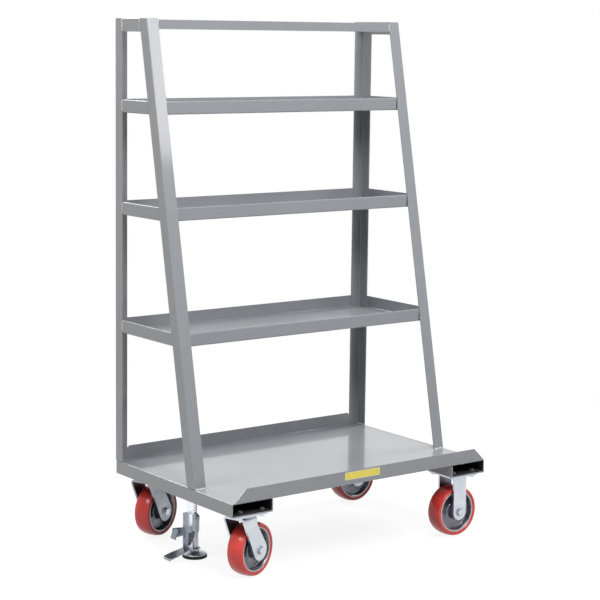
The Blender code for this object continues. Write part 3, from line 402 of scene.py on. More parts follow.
DOUBLES_DISTANCE = 0.00002
POLE_DISTANCE = 0.000001
FLAT_ANGLE = radians(0.5)
SHARP_ANGLE = radians(35.0)


def in_scene(name, data):
    """New object in the scene, at the origin."""
    made = bpy.data.objects.new(name, data)
    bpy.context.scene.collection.objects.link(made)
    return made


def piece_from(name, points, faces, material, body, smooth=True):
    """New piece from an array of points and a list of faces, on a body of the frame."""
    mesh = bpy.data.meshes.new(name)
    mesh.from_pydata(np.asarray(points, float).reshape(-1, 3).tolist(), [], faces)
    mesh.polygons.foreach_set("use_smooth", np.full(len(mesh.polygons), smooth))
    mesh.materials.append(material)
    piece = in_scene(name, mesh)
    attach(piece, body)
    return piece


def grid_faces(rows, columns, wrap_rows=False, wrap_columns=False):
    """Quads of a grid of points, row by row, joined round in either direction where asked."""
    i = np.arange(rows if wrap_rows else rows - 1)
    j = np.arange(columns if wrap_columns else columns - 1)
    a, b = np.meshgrid(i, j, indexing="ij")
    a2, b2 = (a + 1) % rows, (b + 1) % columns
    quads = np.stack([a * columns + b, a * columns + b2, a2 * columns + b2, a2 * columns + b], axis=-1)
    return quads.reshape(-1, 4).tolist()


def tube_faces(rows, columns):
    """Quads round a tube of rings, with a face over each end."""
    faces = grid_faces(rows, columns, wrap_columns=True)
    faces.append(list(range(columns)))
    faces.append([(rows - 1) * columns + i for i in range(columns)])
    return faces


def face_out(piece):
    """Turns every face outwards, for closed surfaces."""
    shape = bmesh.new()
    shape.from_mesh(piece.data)
    bmesh.ops.recalc_face_normals(shape, faces=shape.faces)
    shape.to_mesh(piece.data)
    shape.free()


def eased_edges(piece, width, segments=2):
    """Bevel on the sharp edges alone, with normals weighed by area so that flat faces look flat."""
    bevel = piece.modifiers.new("eased", "BEVEL")
    bevel.width = width
    bevel.segments = segments
    bevel.limit_method = "ANGLE"
    bevel.angle_limit = SHARP_ANGLE
    level = piece.modifiers.new("flat_faces", "WEIGHTED_NORMAL")
    level.mode = "FACE_AREA"
    level.weight = 100


def dressed(node, material, width):
    """Copy of a frame node with its doubles merged, its flat faces joined and its edges eased."""
    mesh = frame["nodes"][node].data.copy()
    shape = bmesh.new()
    shape.from_mesh(mesh)
    bmesh.ops.remove_doubles(shape, verts=shape.verts, dist=DOUBLES_DISTANCE)
    bmesh.ops.dissolve_limit(shape, angle_limit=FLAT_ANGLE, verts=shape.verts, edges=shape.edges)
    for face in shape.faces:
        face.smooth = True
    shape.to_mesh(mesh)
    shape.free()
    mesh.materials.clear()
    mesh.materials.append(material)
    piece = in_scene(f"{node}_dressed", mesh)
    eased_edges(piece, width)
    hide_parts(node)
    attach(piece, body_of(node))
    return piece


def second_finish(piece, material, chosen):
    """Second material on the faces that a test picks by their centre and normal."""
    piece.data.materials.append(material)
    for face in piece.data.polygons:
        if chosen(np.array(face.center), np.array(face.normal)):
            face.material_index = 1


def revolved(name, profile, place, material, body, slot, sides, node=None):
    """Turned surface. A point at radius r and height h goes round the place's local Z axis.

    The profile is a closed loop, or it starts and ends on the axis. Edges that turn sharply are
    marked as sharp, and the rest is smooth. Where a node is named, the piece is shown in its place.
    """
    profile = np.array(profile, float)
    closed = profile[0, 0] > 0 and profile[-1, 0] > 0
    turn = np.linspace(0, 2 * pi, sides, endpoint=False)
    radius, height = profile[:, 0][:, None], profile[:, 1][:, None]
    rings = np.broadcast_arrays(radius * np.cos(turn), radius * np.sin(turn), height)
    faces = grid_faces(len(profile), sides, wrap_rows=closed, wrap_columns=True)
    points = placed(np.stack(rings, axis=-1).reshape(-1, 3), place)
    piece = piece_from(name, points, faces, material, body)
    shape = bmesh.new()
    shape.from_mesh(piece.data)
    bmesh.ops.remove_doubles(shape, verts=shape.verts, dist=POLE_DISTANCE)
    bmesh.ops.dissolve_degenerate(shape, edges=shape.edges, dist=POLE_DISTANCE)
    bmesh.ops.recalc_face_normals(shape, faces=shape.faces)
    shape.normal_update()
    for edge in shape.edges:
        edge.smooth = len(edge.link_faces) == 2 and edge.calc_face_angle(0.0) < SHARP_ANGLE
    shape.to_mesh(piece.data)
    shape.free()
    if node:
        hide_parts(node)


def placed(points, place):
    """Points moved by a 4 x 4 place matrix."""
    place = np.array(place, float)
    return points @ place[:3, :3].T + place[:3, 3]


def swept_tube(name, path, radius, sides, material, body):
    """Round tube: a circle of one radius carried along a path, square to it at every point."""
    path = np.array(path, float)
    ahead = np.gradient(path, axis=0)
    ahead /= np.linalg.norm(ahead, axis=1)[:, None]
    side = np.cross(ahead, [0.0, 0.0, 1.0])
    side /= np.linalg.norm(side, axis=1)[:, None]
    over = np.cross(side, ahead)
    turn = np.linspace(0, 2 * pi, sides, endpoint=False)[None, :, None]
    points = path[:, None] + radius * (np.cos(turn) * side[:, None] + np.sin(turn) * over[:, None])
    piece = piece_from(name, points, tube_faces(len(path), sides), material, body)
    face_out(piece)
    return piece


HEX_CHAMFER = 0.0008
HEX_DRAW_SHARE = 1.6


def rounded_hex(name, across, low, high, place, material, body, slot):
    """Hexagon bar with both ends chamfered: six-sided sections, the end ones drawn in."""
    full = across / np.sqrt(3.0)
    drawn = full - HEX_DRAW_SHARE * HEX_CHAMFER
    turn = np.arange(6) * pi / 3
    ring = np.stack([np.cos(turn), np.sin(turn)], axis=-1)
    steps = ((drawn, low), (full, low + HEX_CHAMFER), (full, high - HEX_CHAMFER), (drawn, high))
    sections = [np.column_stack([ring * radius, np.full(6, height)]) for radius, height in steps]
    points = placed(np.concatenate(sections), place)
    piece = piece_from(name, points, tube_faces(len(steps), 6), material, body, smooth=False)
    face_out(piece)
    return piece


def cut_plate(name, outline, low_y, high_y, material, body):
    """Flat plate: an outline of x and z points carried straight from one y to another."""
    outline = np.array(outline, float)
    count = len(outline)
    ends = [np.column_stack([outline[:, 0], np.full(count, y), outline[:, 1]]) for y in (low_y, high_y)]
    piece = piece_from(name, np.concatenate(ends), tube_faces(2, count), material, body, smooth=False)
    face_out(piece)
    return piece


def turned_place(centre, turn=0.0, lying=False):
    """Place of a piece that is turned about the vertical. A lying one has its Z axis level."""
    place = Matrix.Translation(Vector(centre)) @ Matrix.Rotation(turn, 4, "Z")
    if lying:
        place = place @ Matrix.Rotation(pi / 2, 4, "X")
    return place


def place_over(centre, turn=0.0):
    """Place on the floor under a centre, so that heights are true ones."""
    return turned_place((centre[0], centre[1], 0.0), turn)


def arc_points(centre, radius, start, end, steps):
    """Points of an arc between two angles in degrees."""
    turn = np.radians(np.linspace(start, end, steps + 1))
    return np.column_stack([centre[0] + radius * np.cos(turn), centre[1] + radius * np.sin(turn)]).tolist()


def mirrored_profile(upper):
    """Profile made whole by its mirror image below."""
    lower = [(radius, -height) for radius, height in reversed(upper)]
    return list(upper) + lower


def traced(level, steps, out=0.0):
    """Profile over a level and out from a radius. A step has two numbers or six.

    Two are a point's radius and height. Six are an arc: the radius and height of its centre, its
    own radius, its first and last angle in degrees and its number of parts.
    """
    points = []
    for radius, height, *arc in steps:
        place = (out + radius, level + height)
        points += arc_points(place, *arc) if arc else [place]
    return points


# Casters. The tables below are steps as traced() reads them, in metres and degrees

WHEEL_RADIUS = 0.0758
WHEEL_SIDES = 128
CROWN_HALF = 0.0215
CROWN_DROP = 0.0030
TREAD_HALF = 0.0254
TREAD_EDGE = ((0.0638, -0.0010), (0.0649, 0.0), (0.0694, -0.0036, 0.0036, 90, 8, 6))
HUB_HALF = 0.0285
HUB_END = ((0.0100, -0.0010), (0.0110, 0.0), (0.0205, -0.0020, 0.0020, 90, 5, 4))
DISH_HALF = 0.0070
DISH = ((0.0232, 0.0060), (0.0292, 0.0055, 0.0055, 185, 270, 5), (0.0505, 0.0045, 0.0045, 270, 355, 5))
RIM_HALF = 0.0225
RIM_FACE = ((0.0572, -0.0014), (0.0580, -0.0006), (0.0586, -0.0006), (0.0630, -0.0006), (0.0633, -0.0012))
BAND_OUTSIDE = ((0.0578, -0.0036), (0.0585, 0.0002), (0.0591, 0.0009), (0.0626, 0.0011), (0.0634, 0.0004))
BAND_INSIDE = ((0.0632, -0.0010), (0.0592, -0.0012))


def wheel(corner, turn):
    """Tread, core with a deep dish, and a pale rim band on each side, all about the axle.

    The tread's crown drops with the cube of the distance from its middle.
    """
    body = f"wheel_{corner}"
    place = turned_place(joint_place(f"roll_{corner}"), turn, lying=True)
    widths = np.linspace(CROWN_HALF, 0.0, 9)[:-1]
    crown = [(WHEEL_RADIUS - CROWN_DROP * (width / CROWN_HALF) ** 3, width) for width in widths]
    tread = mirrored_profile(traced(TREAD_HALF, TREAD_EDGE) + crown)
    node = f"caster_{corner}_tread"
    revolved(f"tread_{corner}", tread, place, RED, body, "red_urethane", WHEEL_SIDES, node)
    core = mirrored_profile(traced(HUB_HALF, HUB_END) + traced(DISH_HALF, DISH) + traced(RIM_HALF, RIM_FACE))
    node = f"caster_{corner}_core"
    revolved(f"core_{corner}", core, place, CORE, body, "dark_steel", WHEEL_SIDES, node)
    for side, end in ((-1, "near"), (1, "far")):
        band = traced(RIM_HALF, BAND_OUTSIDE + BAND_INSIDE)
        band = [(radius, side * height) for radius, height in band]
        revolved(f"rim_band_{corner}_{end}", band, place, RIM, body, "zinc_plate", WHEEL_SIDES)


RIGID_LEG_END = 0.0240
SWIVEL_LEG_END = 0.0288
SWIVEL_FRONT_TOP = -0.0340
SWIVEL_FRONT_DROP = 0.0100
SWIVEL_REAR_TOP = 0.0240
SWIVEL_REAR_Z = 0.1550
SWIVEL_KNEE = (0.0350, 0.1380)
ABOVE_ALL = 1.0
FORK_WALL = 0.0060
FORK_BEND = 0.0100
FORK_HALF = 0.0360
FORK_TIP_HALF = 0.0030
FORK_EDGE = 0.0012
FORK_MERGE = 0.00001
CROWN_MARGIN = 0.0005
FORK_END_ROWS = 15
FORK_LEG_ROWS = 12
FORK_BEND_ROWS = 9
FORK_CROWN_ROWS = 9
FORK_COLUMNS = 13


def touch_point(place, centre, radius, side):
    """Where a line from a point touches a circle, as (x, z)."""
    dx, dz = place[0] - centre[0], place[1] - centre[1]
    turn = np.arctan2(dz, dx) + side * np.arccos(radius / np.hypot(dx, dz))
    return centre[0] + radius * np.cos(turn), centre[1] + radius * np.sin(turn)


def leg_sides(swivel, axle_x, axle_z, top):
    """The fork's side view: the x of its front and rear edges for a height, as two functions.

    Below its limit an edge follows the leg's round end, and above it a line of heights and x.
    """
    above = top + ABOVE_ALL
    if swivel:
        radius = SWIVEL_LEG_END
        front_z = top - SWIVEL_FRONT_DROP
        fx, fz = touch_point((SWIVEL_FRONT_TOP, front_z), (axle_x, axle_z), radius, 1)
        rx, rz = touch_point(SWIVEL_KNEE, (axle_x, axle_z), radius, -1)
        front = ([fz, front_z, above], [fx, SWIVEL_FRONT_TOP, SWIVEL_FRONT_TOP])
        rear_x = [rx, SWIVEL_KNEE[0], SWIVEL_REAR_TOP, SWIVEL_REAR_TOP]
        rear = ([rz, SWIVEL_KNEE[1], SWIVEL_REAR_Z, above], rear_x)
    else:
        radius = RIGID_LEG_END
        fz = rz = axle_z
        front = ([axle_z, above], [-radius, -radius])
        rear = ([axle_z, above], [radius, radius])

    def edge(z, line, side, limit):
        z = np.asarray(z, float)
        round_part = axle_x + side * np.sqrt(np.maximum(radius**2 - (z - axle_z) ** 2, 0.0))
        return np.where(z < limit, round_part, np.interp(z, *line))

    return (lambda z: edge(z, front, -1, fz)), (lambda z: edge(z, rear, 1, rz)), radius


def fork_path(foot, radius, top):
    """The fork seen end on, as arrays of y and z: up one leg, over two round bends, and down again."""
    round_z = foot + radius * (1 - np.cos(np.linspace(0.0, pi / 2, FORK_END_ROWS)))
    leg_z = np.concatenate([round_z, np.linspace(round_z[-1], top - FORK_BEND, FORK_LEG_ROWS)[1:]])
    turn = np.radians(np.linspace(0, 90, FORK_BEND_ROWS))[1:]
    flat = FORK_HALF - FORK_BEND
    near_y = np.concatenate([np.full(len(leg_z), FORK_HALF), flat + FORK_BEND * np.cos(turn)])
    near_z = np.concatenate([leg_z, top - FORK_BEND + FORK_BEND * np.sin(turn)])
    crown_y = np.linspace(flat, -flat, FORK_CROWN_ROWS)[1:-1]
    path_y = np.concatenate([near_y, crown_y, -near_y[::-1]])
    path_z = np.concatenate([near_z, np.full(len(crown_y), top), near_z[::-1]])
    return path_y, path_z


def crown_up(piece, top):
    """Merges doubles of an open strip and turns it so that the faces of its crown look up."""
    shape = bmesh.new()
    shape.from_mesh(piece.data)
    bmesh.ops.remove_doubles(shape, verts=shape.verts, dist=FORK_MERGE)
    crown = [face for face in shape.faces if face.calc_center_median().z > top - CROWN_MARGIN]
    if crown and crown[0].normal.z < 0:
        bmesh.ops.reverse_faces(shape, faces=shape.faces)
    shape.to_mesh(piece.data)
    shape.free()


def fork(corner, turn, swivel):
    """Fork bent from one strip. Across its width it runs straight from the front to the rear edge."""
    node = f"caster_{corner}_fork"
    body = f"fork_{corner}" if swivel else "cart"
    top = corners(node)[1][2]
    axle = joint_place(f"roll_{corner}")
    centre = joint_place(f"swivel_{corner}") if swivel else axle
    axle_x = float(np.hypot(axle[0] - centre[0], axle[1] - centre[1]))
    front, rear, radius = leg_sides(swivel, axle_x, axle[2], top)
    path_y, path_z = fork_path(axle[2] - radius, radius, top)
    x0, x1 = front(path_z), rear(path_z)
    x0[0] = x0[-1] = axle_x - FORK_TIP_HALF
    x1[0] = x1[-1] = axle_x + FORK_TIP_HALF
    across = np.linspace(0, 1, FORK_COLUMNS)
    grid_x = x0[:, None] + (x1 - x0)[:, None] * across
    grid = np.broadcast_arrays(grid_x, path_y[:, None], path_z[:, None])
    points = placed(np.stack(grid, axis=-1).reshape(-1, 3), place_over(centre, turn))
    faces = grid_faces(len(path_y), len(across))
    # the rear forks take darker zincs as painted shade under the deck
    material = {"rear_left": ZINC_DEEP_AND_SHADE, "rear_right": ZINC_DULL_AND_SHADE}.get(corner, ZINC)
    piece = piece_from(f"fork_bent_{corner}", points, faces, material, body)
    crown_up(piece, top)
    plate = piece.modifiers.new("plate", "SOLIDIFY")
    plate.thickness = FORK_WALL
    plate.offset = -1.0
    # the fork's inner faces take a darker zinc as painted shade
    plate.material_offset = 1
    piece.data.materials.append(ZINC_PAINTED_SHADE)
    eased_edges(piece, FORK_EDGE, segments=3)
    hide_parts(node)


FORK_FACE = 0.0362
WASHER = ((0.0068, 0.0), (0.0128, 0.0), (0.0134, 0.0005), (0.0128, 0.0016), (0.0068, 0.0016))
AXLE_HEX = 0.0190
AXLE_HEX_FOOT = 0.0016
AXLE_HEX_TOP = 0.0082
SHANK_HEAD = ((0.0, 0.0017), (0.0062, 0.0017))
SHANK_END = ((0.0062, -0.0078), (0.0, -0.0078))


def axle_bolt(corner, turn, swivel):
    """Hex bolt with a washer in front, and a nut, a washer and the shank's end behind."""
    spot = (f"fork_{corner}" if swivel else "cart", "zinc_plate")
    place = turned_place(joint_place(f"roll_{corner}"), turn, lying=True)
    washer = traced(FORK_FACE, WASHER)
    far_washer = [(radius, -height) for radius, height in washer]
    revolved(f"axle_washer_{corner}", washer, place, ZINC_DULL_AND_SHADE, *spot, 48)
    revolved(f"axle_far_washer_{corner}", far_washer, place, ZINC_DULL_AND_SHADE, *spot, 48)
    foot, top = FORK_FACE + AXLE_HEX_FOOT, FORK_FACE + AXLE_HEX_TOP
    head = rounded_hex(f"axle_head_{corner}", AXLE_HEX, foot, top, place, ZINC, *spot)
    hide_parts(f"caster_{corner}_axle")
    rounded_hex(f"axle_nut_{corner}", AXLE_HEX, -top, -foot, place, ZINC_DULL_AND_SHADE, *spot)
    shank = traced(FORK_FACE, SHANK_HEAD) + traced(-FORK_FACE, SHANK_END)
    revolved(f"axle_shank_{corner}", shank, place, ZINC_DULL_AND_SHADE, *spot, 32)


UPPER_RING_TOP = ((0.0090, -0.0001), (0.0395, -0.0001), (0.0397, -0.0022, 0.0021, 90, -60, 6))
UPPER_RING_FOOT = ((0.0370, 0.0005), (0.0090, 0.0005))
LOWER_RING_TOP = ((0.0090, -0.0005), (0.0370, -0.0005))
LOWER_RING_FOOT = ((0.0388, 0.0021, 0.0020, 60, -90, 6), (0.0090, 0.0001))
BALL_GROOVE = ((0.0092, -0.0008), (0.0362, -0.0008), (0.0362, 0.0008), (0.0092, 0.0008))


def swivel_race(corner):
    """Double ball race: two rolled rings with a dark ball groove between them."""
    node = f"caster_{corner}_race"
    low, high = corners(node)
    centre = middle(node)
    place = place_over(centre)
    upper = traced(high[2], UPPER_RING_TOP) + traced(centre[2], UPPER_RING_FOOT)
    lower = traced(centre[2], LOWER_RING_TOP) + traced(low[2], LOWER_RING_FOOT)
    revolved(f"race_upper_{corner}", upper, place, ZINC, "cart", "zinc_plate", 96, node)
    revolved(f"race_lower_{corner}", lower, place, ZINC_DULL_AND_SHADE, "cart", "zinc_plate", 96)
    groove = traced(centre[2], BALL_GROOVE)
    revolved(f"race_groove_{corner}", groove, place, CATCH_STEEL_AND_SHADE, "cart", "dark_steel", 64)


KINGPIN_HEAD = ((0.0, -0.0002), (0.0080, -0.0002))
KINGPIN_FLANGE = ((0.0080, 0.0), (0.0131, 0.0), (0.0135, -0.0008), (0.0131, -0.0018), (0.0080, -0.0020))
KINGPIN_END = ((0.0078, 0.0012), (0.0062, 0.0002), (0.0, 0.0001))
KINGPIN_NUT_TOP = 0.0090
KINGPIN_HEX = 0.0225
KINGPIN_HEX_FOOT = 0.0016
KINGPIN_HEX_DROP = 0.0018


def kingpin(corner):
    """Kingpin with a flanged nut under the fork's crown and a domed end."""
    node = f"caster_{corner}_kingpin"
    low, high = corners(node)
    place = place_over(middle(node))
    nut_top = low[2] + KINGPIN_NUT_TOP
    pin = traced(high[2], KINGPIN_HEAD) + traced(nut_top, KINGPIN_FLANGE) + traced(low[2], KINGPIN_END)
    revolved(f"kingpin_{corner}", pin, place, ZINC_DULL_AND_SHADE, "cart", "zinc_plate", 48, node)
    foot, top = low[2] + KINGPIN_HEX_FOOT, nut_top - KINGPIN_HEX_DROP
    rounded_hex(f"kingpin_nut_{corner}", KINGPIN_HEX, foot, top, place, ZINC_DULL_AND_SHADE, "cart", "zinc_plate")


CASTER_PLATE_EDGE = 0.0005


def casters():
    """All four casters. Their plates' bolts inside the channels get the dark steel as painted shade."""
    for corner in CORNERS:
        swivel = corner in SWIVEL_TURNS
        turn = SWIVEL_TURNS.get(corner, 0.0)
        wheel(corner, turn)
        fork(corner, turn, swivel)
        axle_bolt(corner, turn, swivel)
        plate = dressed(f"caster_{corner}_plate", ZINC, CASTER_PLATE_EDGE)
        # the plate's parts inside the channels take the dark steel as painted shade
        second_finish(plate, CATCH_STEEL_AND_SHADE, lambda centre, normal: centre[2] > CHANNEL_FLOOR)
        for place in frame["nodes"][f"caster_{corner}_bushing"].material_slots:
            place.material = ZINC_DULL_AND_SHADE
        if swivel:
            swivel_race(corner)
            kingpin(corner)


# Floor lock

SPRING_WIRE = 0.0011
SPRING_COIL = 0.0052
SPRING_TURNS = 12.0
SPRING_LEVEL = 0.25
SPRING_POINTS = 480
WIRE_SIDES = 10


def lock_spring():
    """Pull-up spring: wire carried along a helix whose first and last quarter turns are level."""
    low, high = corners("lock_spring")
    centre = middle("lock_spring")
    t = np.linspace(0, 1, SPRING_POINTS)
    rise = (t * SPRING_TURNS - SPRING_LEVEL) / (SPRING_TURNS - 2 * SPRING_LEVEL)
    height = low[2] + SPRING_WIRE + (high[2] - low[2] - 2 * SPRING_WIRE) * np.clip(rise, 0, 1)
    angle = 2 * pi * SPRING_TURNS * t
    x, y = centre[0] + SPRING_COIL * np.cos(angle), centre[1] + SPRING_COIL * np.sin(angle)
    path = np.column_stack([x, y, height])
    piece = swept_tube("spring_wire", path, SPRING_WIRE, WIRE_SIDES, ZINC_DEEP_AND_SHADE, "cart")
    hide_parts("lock_spring")
    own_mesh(piece)


PAD_TOP = ((-0.0008, 0.0), (-0.0012, -0.0012, 0.0012, 90, 0, 4))
PAD_SIDE = ((-0.0006, 0.0052), (-0.0006, 0.0044), (0.0, 0.0036), (-0.0018, 0.0018, 0.0018, 0, -90, 4))
CUP_FLOOR = ((0.0, 0.0030), (0.0063, 0.0030))
CUP_NECK = ((0.0063, 0.0), (0.0100, 0.0), (0.0100, -0.0012, 0.0012, 90, 0, 3))
CUP_DISH = ((0.0113, 0.0092), (0.0140, 0.0092, 0.0027, 180, 255, 4), (0.0215, 0.0058), (0.0300, 0.0036))
CUP_RIM = ((0.0322, 0.0018, 0.0018, 80, -90, 6), (0.0, 0.0))
FOOT_HEX = 0.0225
FOOT_HEX_FOOT = 0.0066
FOOT_HEX_TOP = 0.0128


def lock_foot():
    """Foot of the lock: rubber pad with a rib, pressed dish with a rolled rim, and a nut on its neck."""
    low, high = corners("lock_pad")
    place = place_over(middle("lock_pad"))
    radius = (high[0] - low[0]) / 2
    pad = traced(high[2], PAD_TOP, radius) + traced(0.0, PAD_SIDE, radius)
    pad = [(0.0, high[2])] + pad + [(0.0, 0.0)]
    revolved("pad_rubber", pad, place, RUBBER, "lock_foot", "black_rubber", 96, "lock_pad")
    low, high = corners("lock_cup")
    base = low[2]
    cup = traced(base, CUP_FLOOR) + traced(high[2], CUP_NECK) + traced(base, CUP_DISH + CUP_RIM)
    revolved("foot_dish", cup, place, ZINC, "lock_foot", "zinc_plate", 96, "lock_cup")
    foot, top = base + FOOT_HEX_FOOT, base + FOOT_HEX_TOP
    rounded_hex("foot_nut", FOOT_HEX, foot, top, place, CATCH_STEEL_AND_SHADE, "lock_foot", "dark_steel")


CAP_GAP = 0.0003
CAP_TOP = ((0.0, 0.0), (0.0062, 0.0), (0.0072, -0.0008))
CAP_RIM = ((0.0128, 0.0040), (0.0136, 0.0028), (0.0136, 0.0006), (0.0130, 0.0), (0.0103, 0.0))
ROD_END = ((0.0103, 0.0010), (0.0095, 0.0001), (0.0060, 0.0001))
STUD_END = ((0.0060, 0.0), (0.0, 0.0))
SLEEVE_TOP = ((0.0106, 0.0), (0.0128, 0.0), (0.0136, -0.0009), (0.0135, -0.0060), (0.0130, -0.0068))
SLEEVE_FOOT = ((0.0124, 0.0010), (0.0117, 0.0), (0.0106, 0.0))


def lock_plunger():
    """Polished rod with a coned cap and a stud down into the foot, and the fixed sleeve round it."""
    low, high = corners("lock_plunger")
    place = place_over(middle("lock_plunger"))
    sleeve_low, sleeve_high = corners("lock_sleeve")
    stem_foot = corners("lock_stem")[0][2]
    rod = traced(high[2], CAP_TOP) + traced(sleeve_high[2] + CAP_GAP, CAP_RIM)
    rod += traced(stem_foot, ROD_END) + traced(low[2], STUD_END)
    revolved("plunger_rod", rod, place, ZINC_DULL_AND_SHADE, "lock_foot", "zinc_plate", 64, "lock_plunger")
    sleeve = traced(sleeve_high[2], SLEEVE_TOP) + traced(sleeve_low[2], SLEEVE_FOOT)
    revolved("guide_sleeve", sleeve, place, ZINC_DEEP_AND_SHADE, "cart", "zinc_plate", 64, "lock_sleeve")


CATCH_TOP = ((-0.0040, 0.0), (-0.0250, 0.0))
CATCH_PIN_PLACE = (-0.0225, 0.0052)
CATCH_FOOT = ((-0.0268, 0.0100), (*CATCH_PIN_PLACE, 0.0052, 180, 330, 8))
CATCH_FRONT = ((-0.0075, -0.0150),)
CATCH_PIN = ((0.0, 0.0008), (0.0022, 0.0008), (0.0030, 0.0001), (0.0030, 0.0), (0.0, 0.0))
CATCH_EDGE = 0.0004


def lock_catch():
    """Catch: a dark plate that leans towards its foot, where a pin holds it."""
    low, high = corners("lock_catch")
    x, top = high[0], high[2]
    outline = traced(top, CATCH_TOP, x) + traced(low[2], CATCH_FOOT, x) + traced(top, CATCH_FRONT, x)
    piece = cut_plate("catch_plate", outline, low[1], high[1], CATCH_STEEL_AND_SHADE, "cart")
    eased_edges(piece, CATCH_EDGE)
    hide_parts("lock_catch")
    place = turned_place((x + CATCH_PIN_PLACE[0], 0.0, low[2] + CATCH_PIN_PLACE[1]), lying=True)
    revolved("catch_pin", traced(-low[1], CATCH_PIN), place, PRIMER_AND_PAINTED_SHADE, "cart", "dark_steel", 24)


# Finish and width of the eased edge
LOCK_PLATES = {
    "lock_plate": (ZINC_BLUE_PAINTED_HIGHLIGHT, 0.0005),
    "lock_housing": (ZINC_BLUE_PAINTED_HIGHLIGHT, 0.0003),
    "lock_pedal": (ZINC_DEEP_AND_SHADE, 0.0005),
    "lock_stem": (ZINC_BLUE_PAINTED_HIGHLIGHT, 0.0004),
    "lock_release": (ZINC_DEEP_AND_SHADE, 0.0004),
    "lock_release_pin": (ZINC, 0.0003),
}


def floor_lock():
    """The whole lock. The stem's faces towards the cart's front and rear get a darker zinc as painted shade.
    """
    lock_spring()
    lock_foot()
    lock_plunger()
    for node, (material, width) in LOCK_PLATES.items():
        piece = dressed(node, material, width)
        if node == "lock_stem":
            # the stem's front and rear faces take a darker zinc as painted shade beside its pale sides
            second_finish(piece, ZINC_DEEP_AND_SHADE, lambda centre, normal: abs(normal[1]) > 0.5)
    lock_catch()


# Sheet metal and welds

SHEET_EDGE = 0.0003
ANGLE_EDGE = 0.0006
INSIDE_MARGIN = 0.001


def sheet_metal():
    """Deck, channels, shelves, posts and bars as copies of the frame's own, with painted shade inside the
    channels.
    """
    for node in frame["nodes"]:
        sheet = node.startswith(("deck_", "shelf_"))
        if sheet or node.startswith(("post_", "top_")):
            piece = dressed(node, PAINT, SHEET_EDGE if sheet else ANGLE_EDGE)
        if node.startswith("deck_"):
            # faces inside the channels take the near-black finish as painted shade
            second_finish(piece, PRIMER_AND_PAINTED_SHADE, painted_shade_faces_of(node))


def painted_shade_faces_of(node):
    """Test for the faces below the deck that lie inside a node's box and don't face its ends, which get the
    painted shade.
    """
    low, high = corners(node)
    low = low + INSIDE_MARGIN
    high = high - INSIDE_MARGIN
    high[2] = min(high[2], DECK_TOP - INSIDE_MARGIN)

    def chosen(centre, normal):
        return bool(np.all(centre > low) and np.all(centre < high) and abs(normal[1]) < 0.5)

    return chosen


RIPPLE_SHARE = 0.14
RIPPLE_LENGTH = 0.0026
BEAD_STEP = 0.0005
BEAD_SIDES = 12
TAPER_POWER = 14
TAPER_LEAST = 0.02


def weld_bead(name, start, end, radius, lean):
    """Weld bead: a half-round ridge along a line, swelling once for each ripple.

    Its radius at a point is the plain radius times one plus a small sine of the length, and it
    tapers close to both ends.
    """
    start, end, lean = np.array(start, float), np.array(end, float), np.array(lean, float)
    along = end - start
    length = np.linalg.norm(along)
    along /= length
    lean -= along * (lean @ along)
    lean /= np.linalg.norm(lean)
    side = np.cross(along, lean)
    steps = max(int(length / BEAD_STEP), BEAD_SIDES)
    t = np.linspace(0, 1, steps)
    ripple = 1 + RIPPLE_SHARE * np.sin(2 * pi * t * length / RIPPLE_LENGTH)
    taper = np.sqrt(np.clip(1 - np.abs(2 * t - 1) ** TAPER_POWER, TAPER_LEAST, 1))
    girth = radius * ripple * taper
    turn = np.linspace(0, 2 * pi, BEAD_SIDES + 1)[:-1]
    ring = np.cos(turn)[:, None] * lean + np.sin(turn)[:, None] * side
    points = start + along * (t * length)[:, None]
    points = points[:, None] + girth[:, None, None] * ring
    piece = piece_from(name, points, tube_faces(steps, BEAD_SIDES), WELD_PAINTED_HIGHLIGHT, "cart")
    face_out(piece)


def upright_bead(name, x, y, bottom, top, radius, lean):
    """Weld bead straight up between two heights."""
    weld_bead(name, (x, y, bottom), (x, y, top), radius, lean)


POST_LEG = 0.0381
POST_INNER = 0.0042
FOOT_START = 0.0030
FOOT_LEG_START = 0.0100
FOOT_BEAD = 0.0020
FOOT_RISE = 0.6


def foot_welds(side, outer, inward):
    """Fillet welds along both legs of the feet of one side's posts."""
    for end, back in (("front", 1), ("rear", -1)):
        low, high = corners(f"post_{end}_{side}")
        y = low[1] if end == "front" else high[1]
        foot = low[2]
        start, stop = [(outer + inward * reach, y, foot) for reach in (FOOT_START, POST_LEG)]
        weld_bead(f"weld_foot_{end}_{side}", start, stop, FOOT_BEAD, (0, -back, FOOT_RISE))
        inner = outer + inward * POST_INNER
        start, stop = [(inner, y + back * reach, foot) for reach in (FOOT_LEG_START, POST_LEG)]
        weld_bead(f"weld_foot_leg_{end}_{side}", start, stop, FOOT_BEAD, (inward, 0, FOOT_RISE))


SEAM_BEAD = 0.0014
SHELF_END_BEAD = 0.0017
SHELF_LIP_START = 0.0383
SHELF_SEAM_FOOT = 0.0040
SHELF_SEAM_HEAD = 0.0020
SHELF_REAR_SINK = 0.0002
SHELF_FRONT_SINK = 0.0005
# outline and depth of the near-black strip that paints the gap's shade on the lip
SHADE_STRIP_HEAD = ((0.0004, -0.0004), (-0.0012, -0.0004))
SHADE_STRIP_FOOT = ((-0.0032, 0.0010), (0.0004, 0.0010))
SHADE_STRIP_DEPTH = (-0.0003, 0.0002)


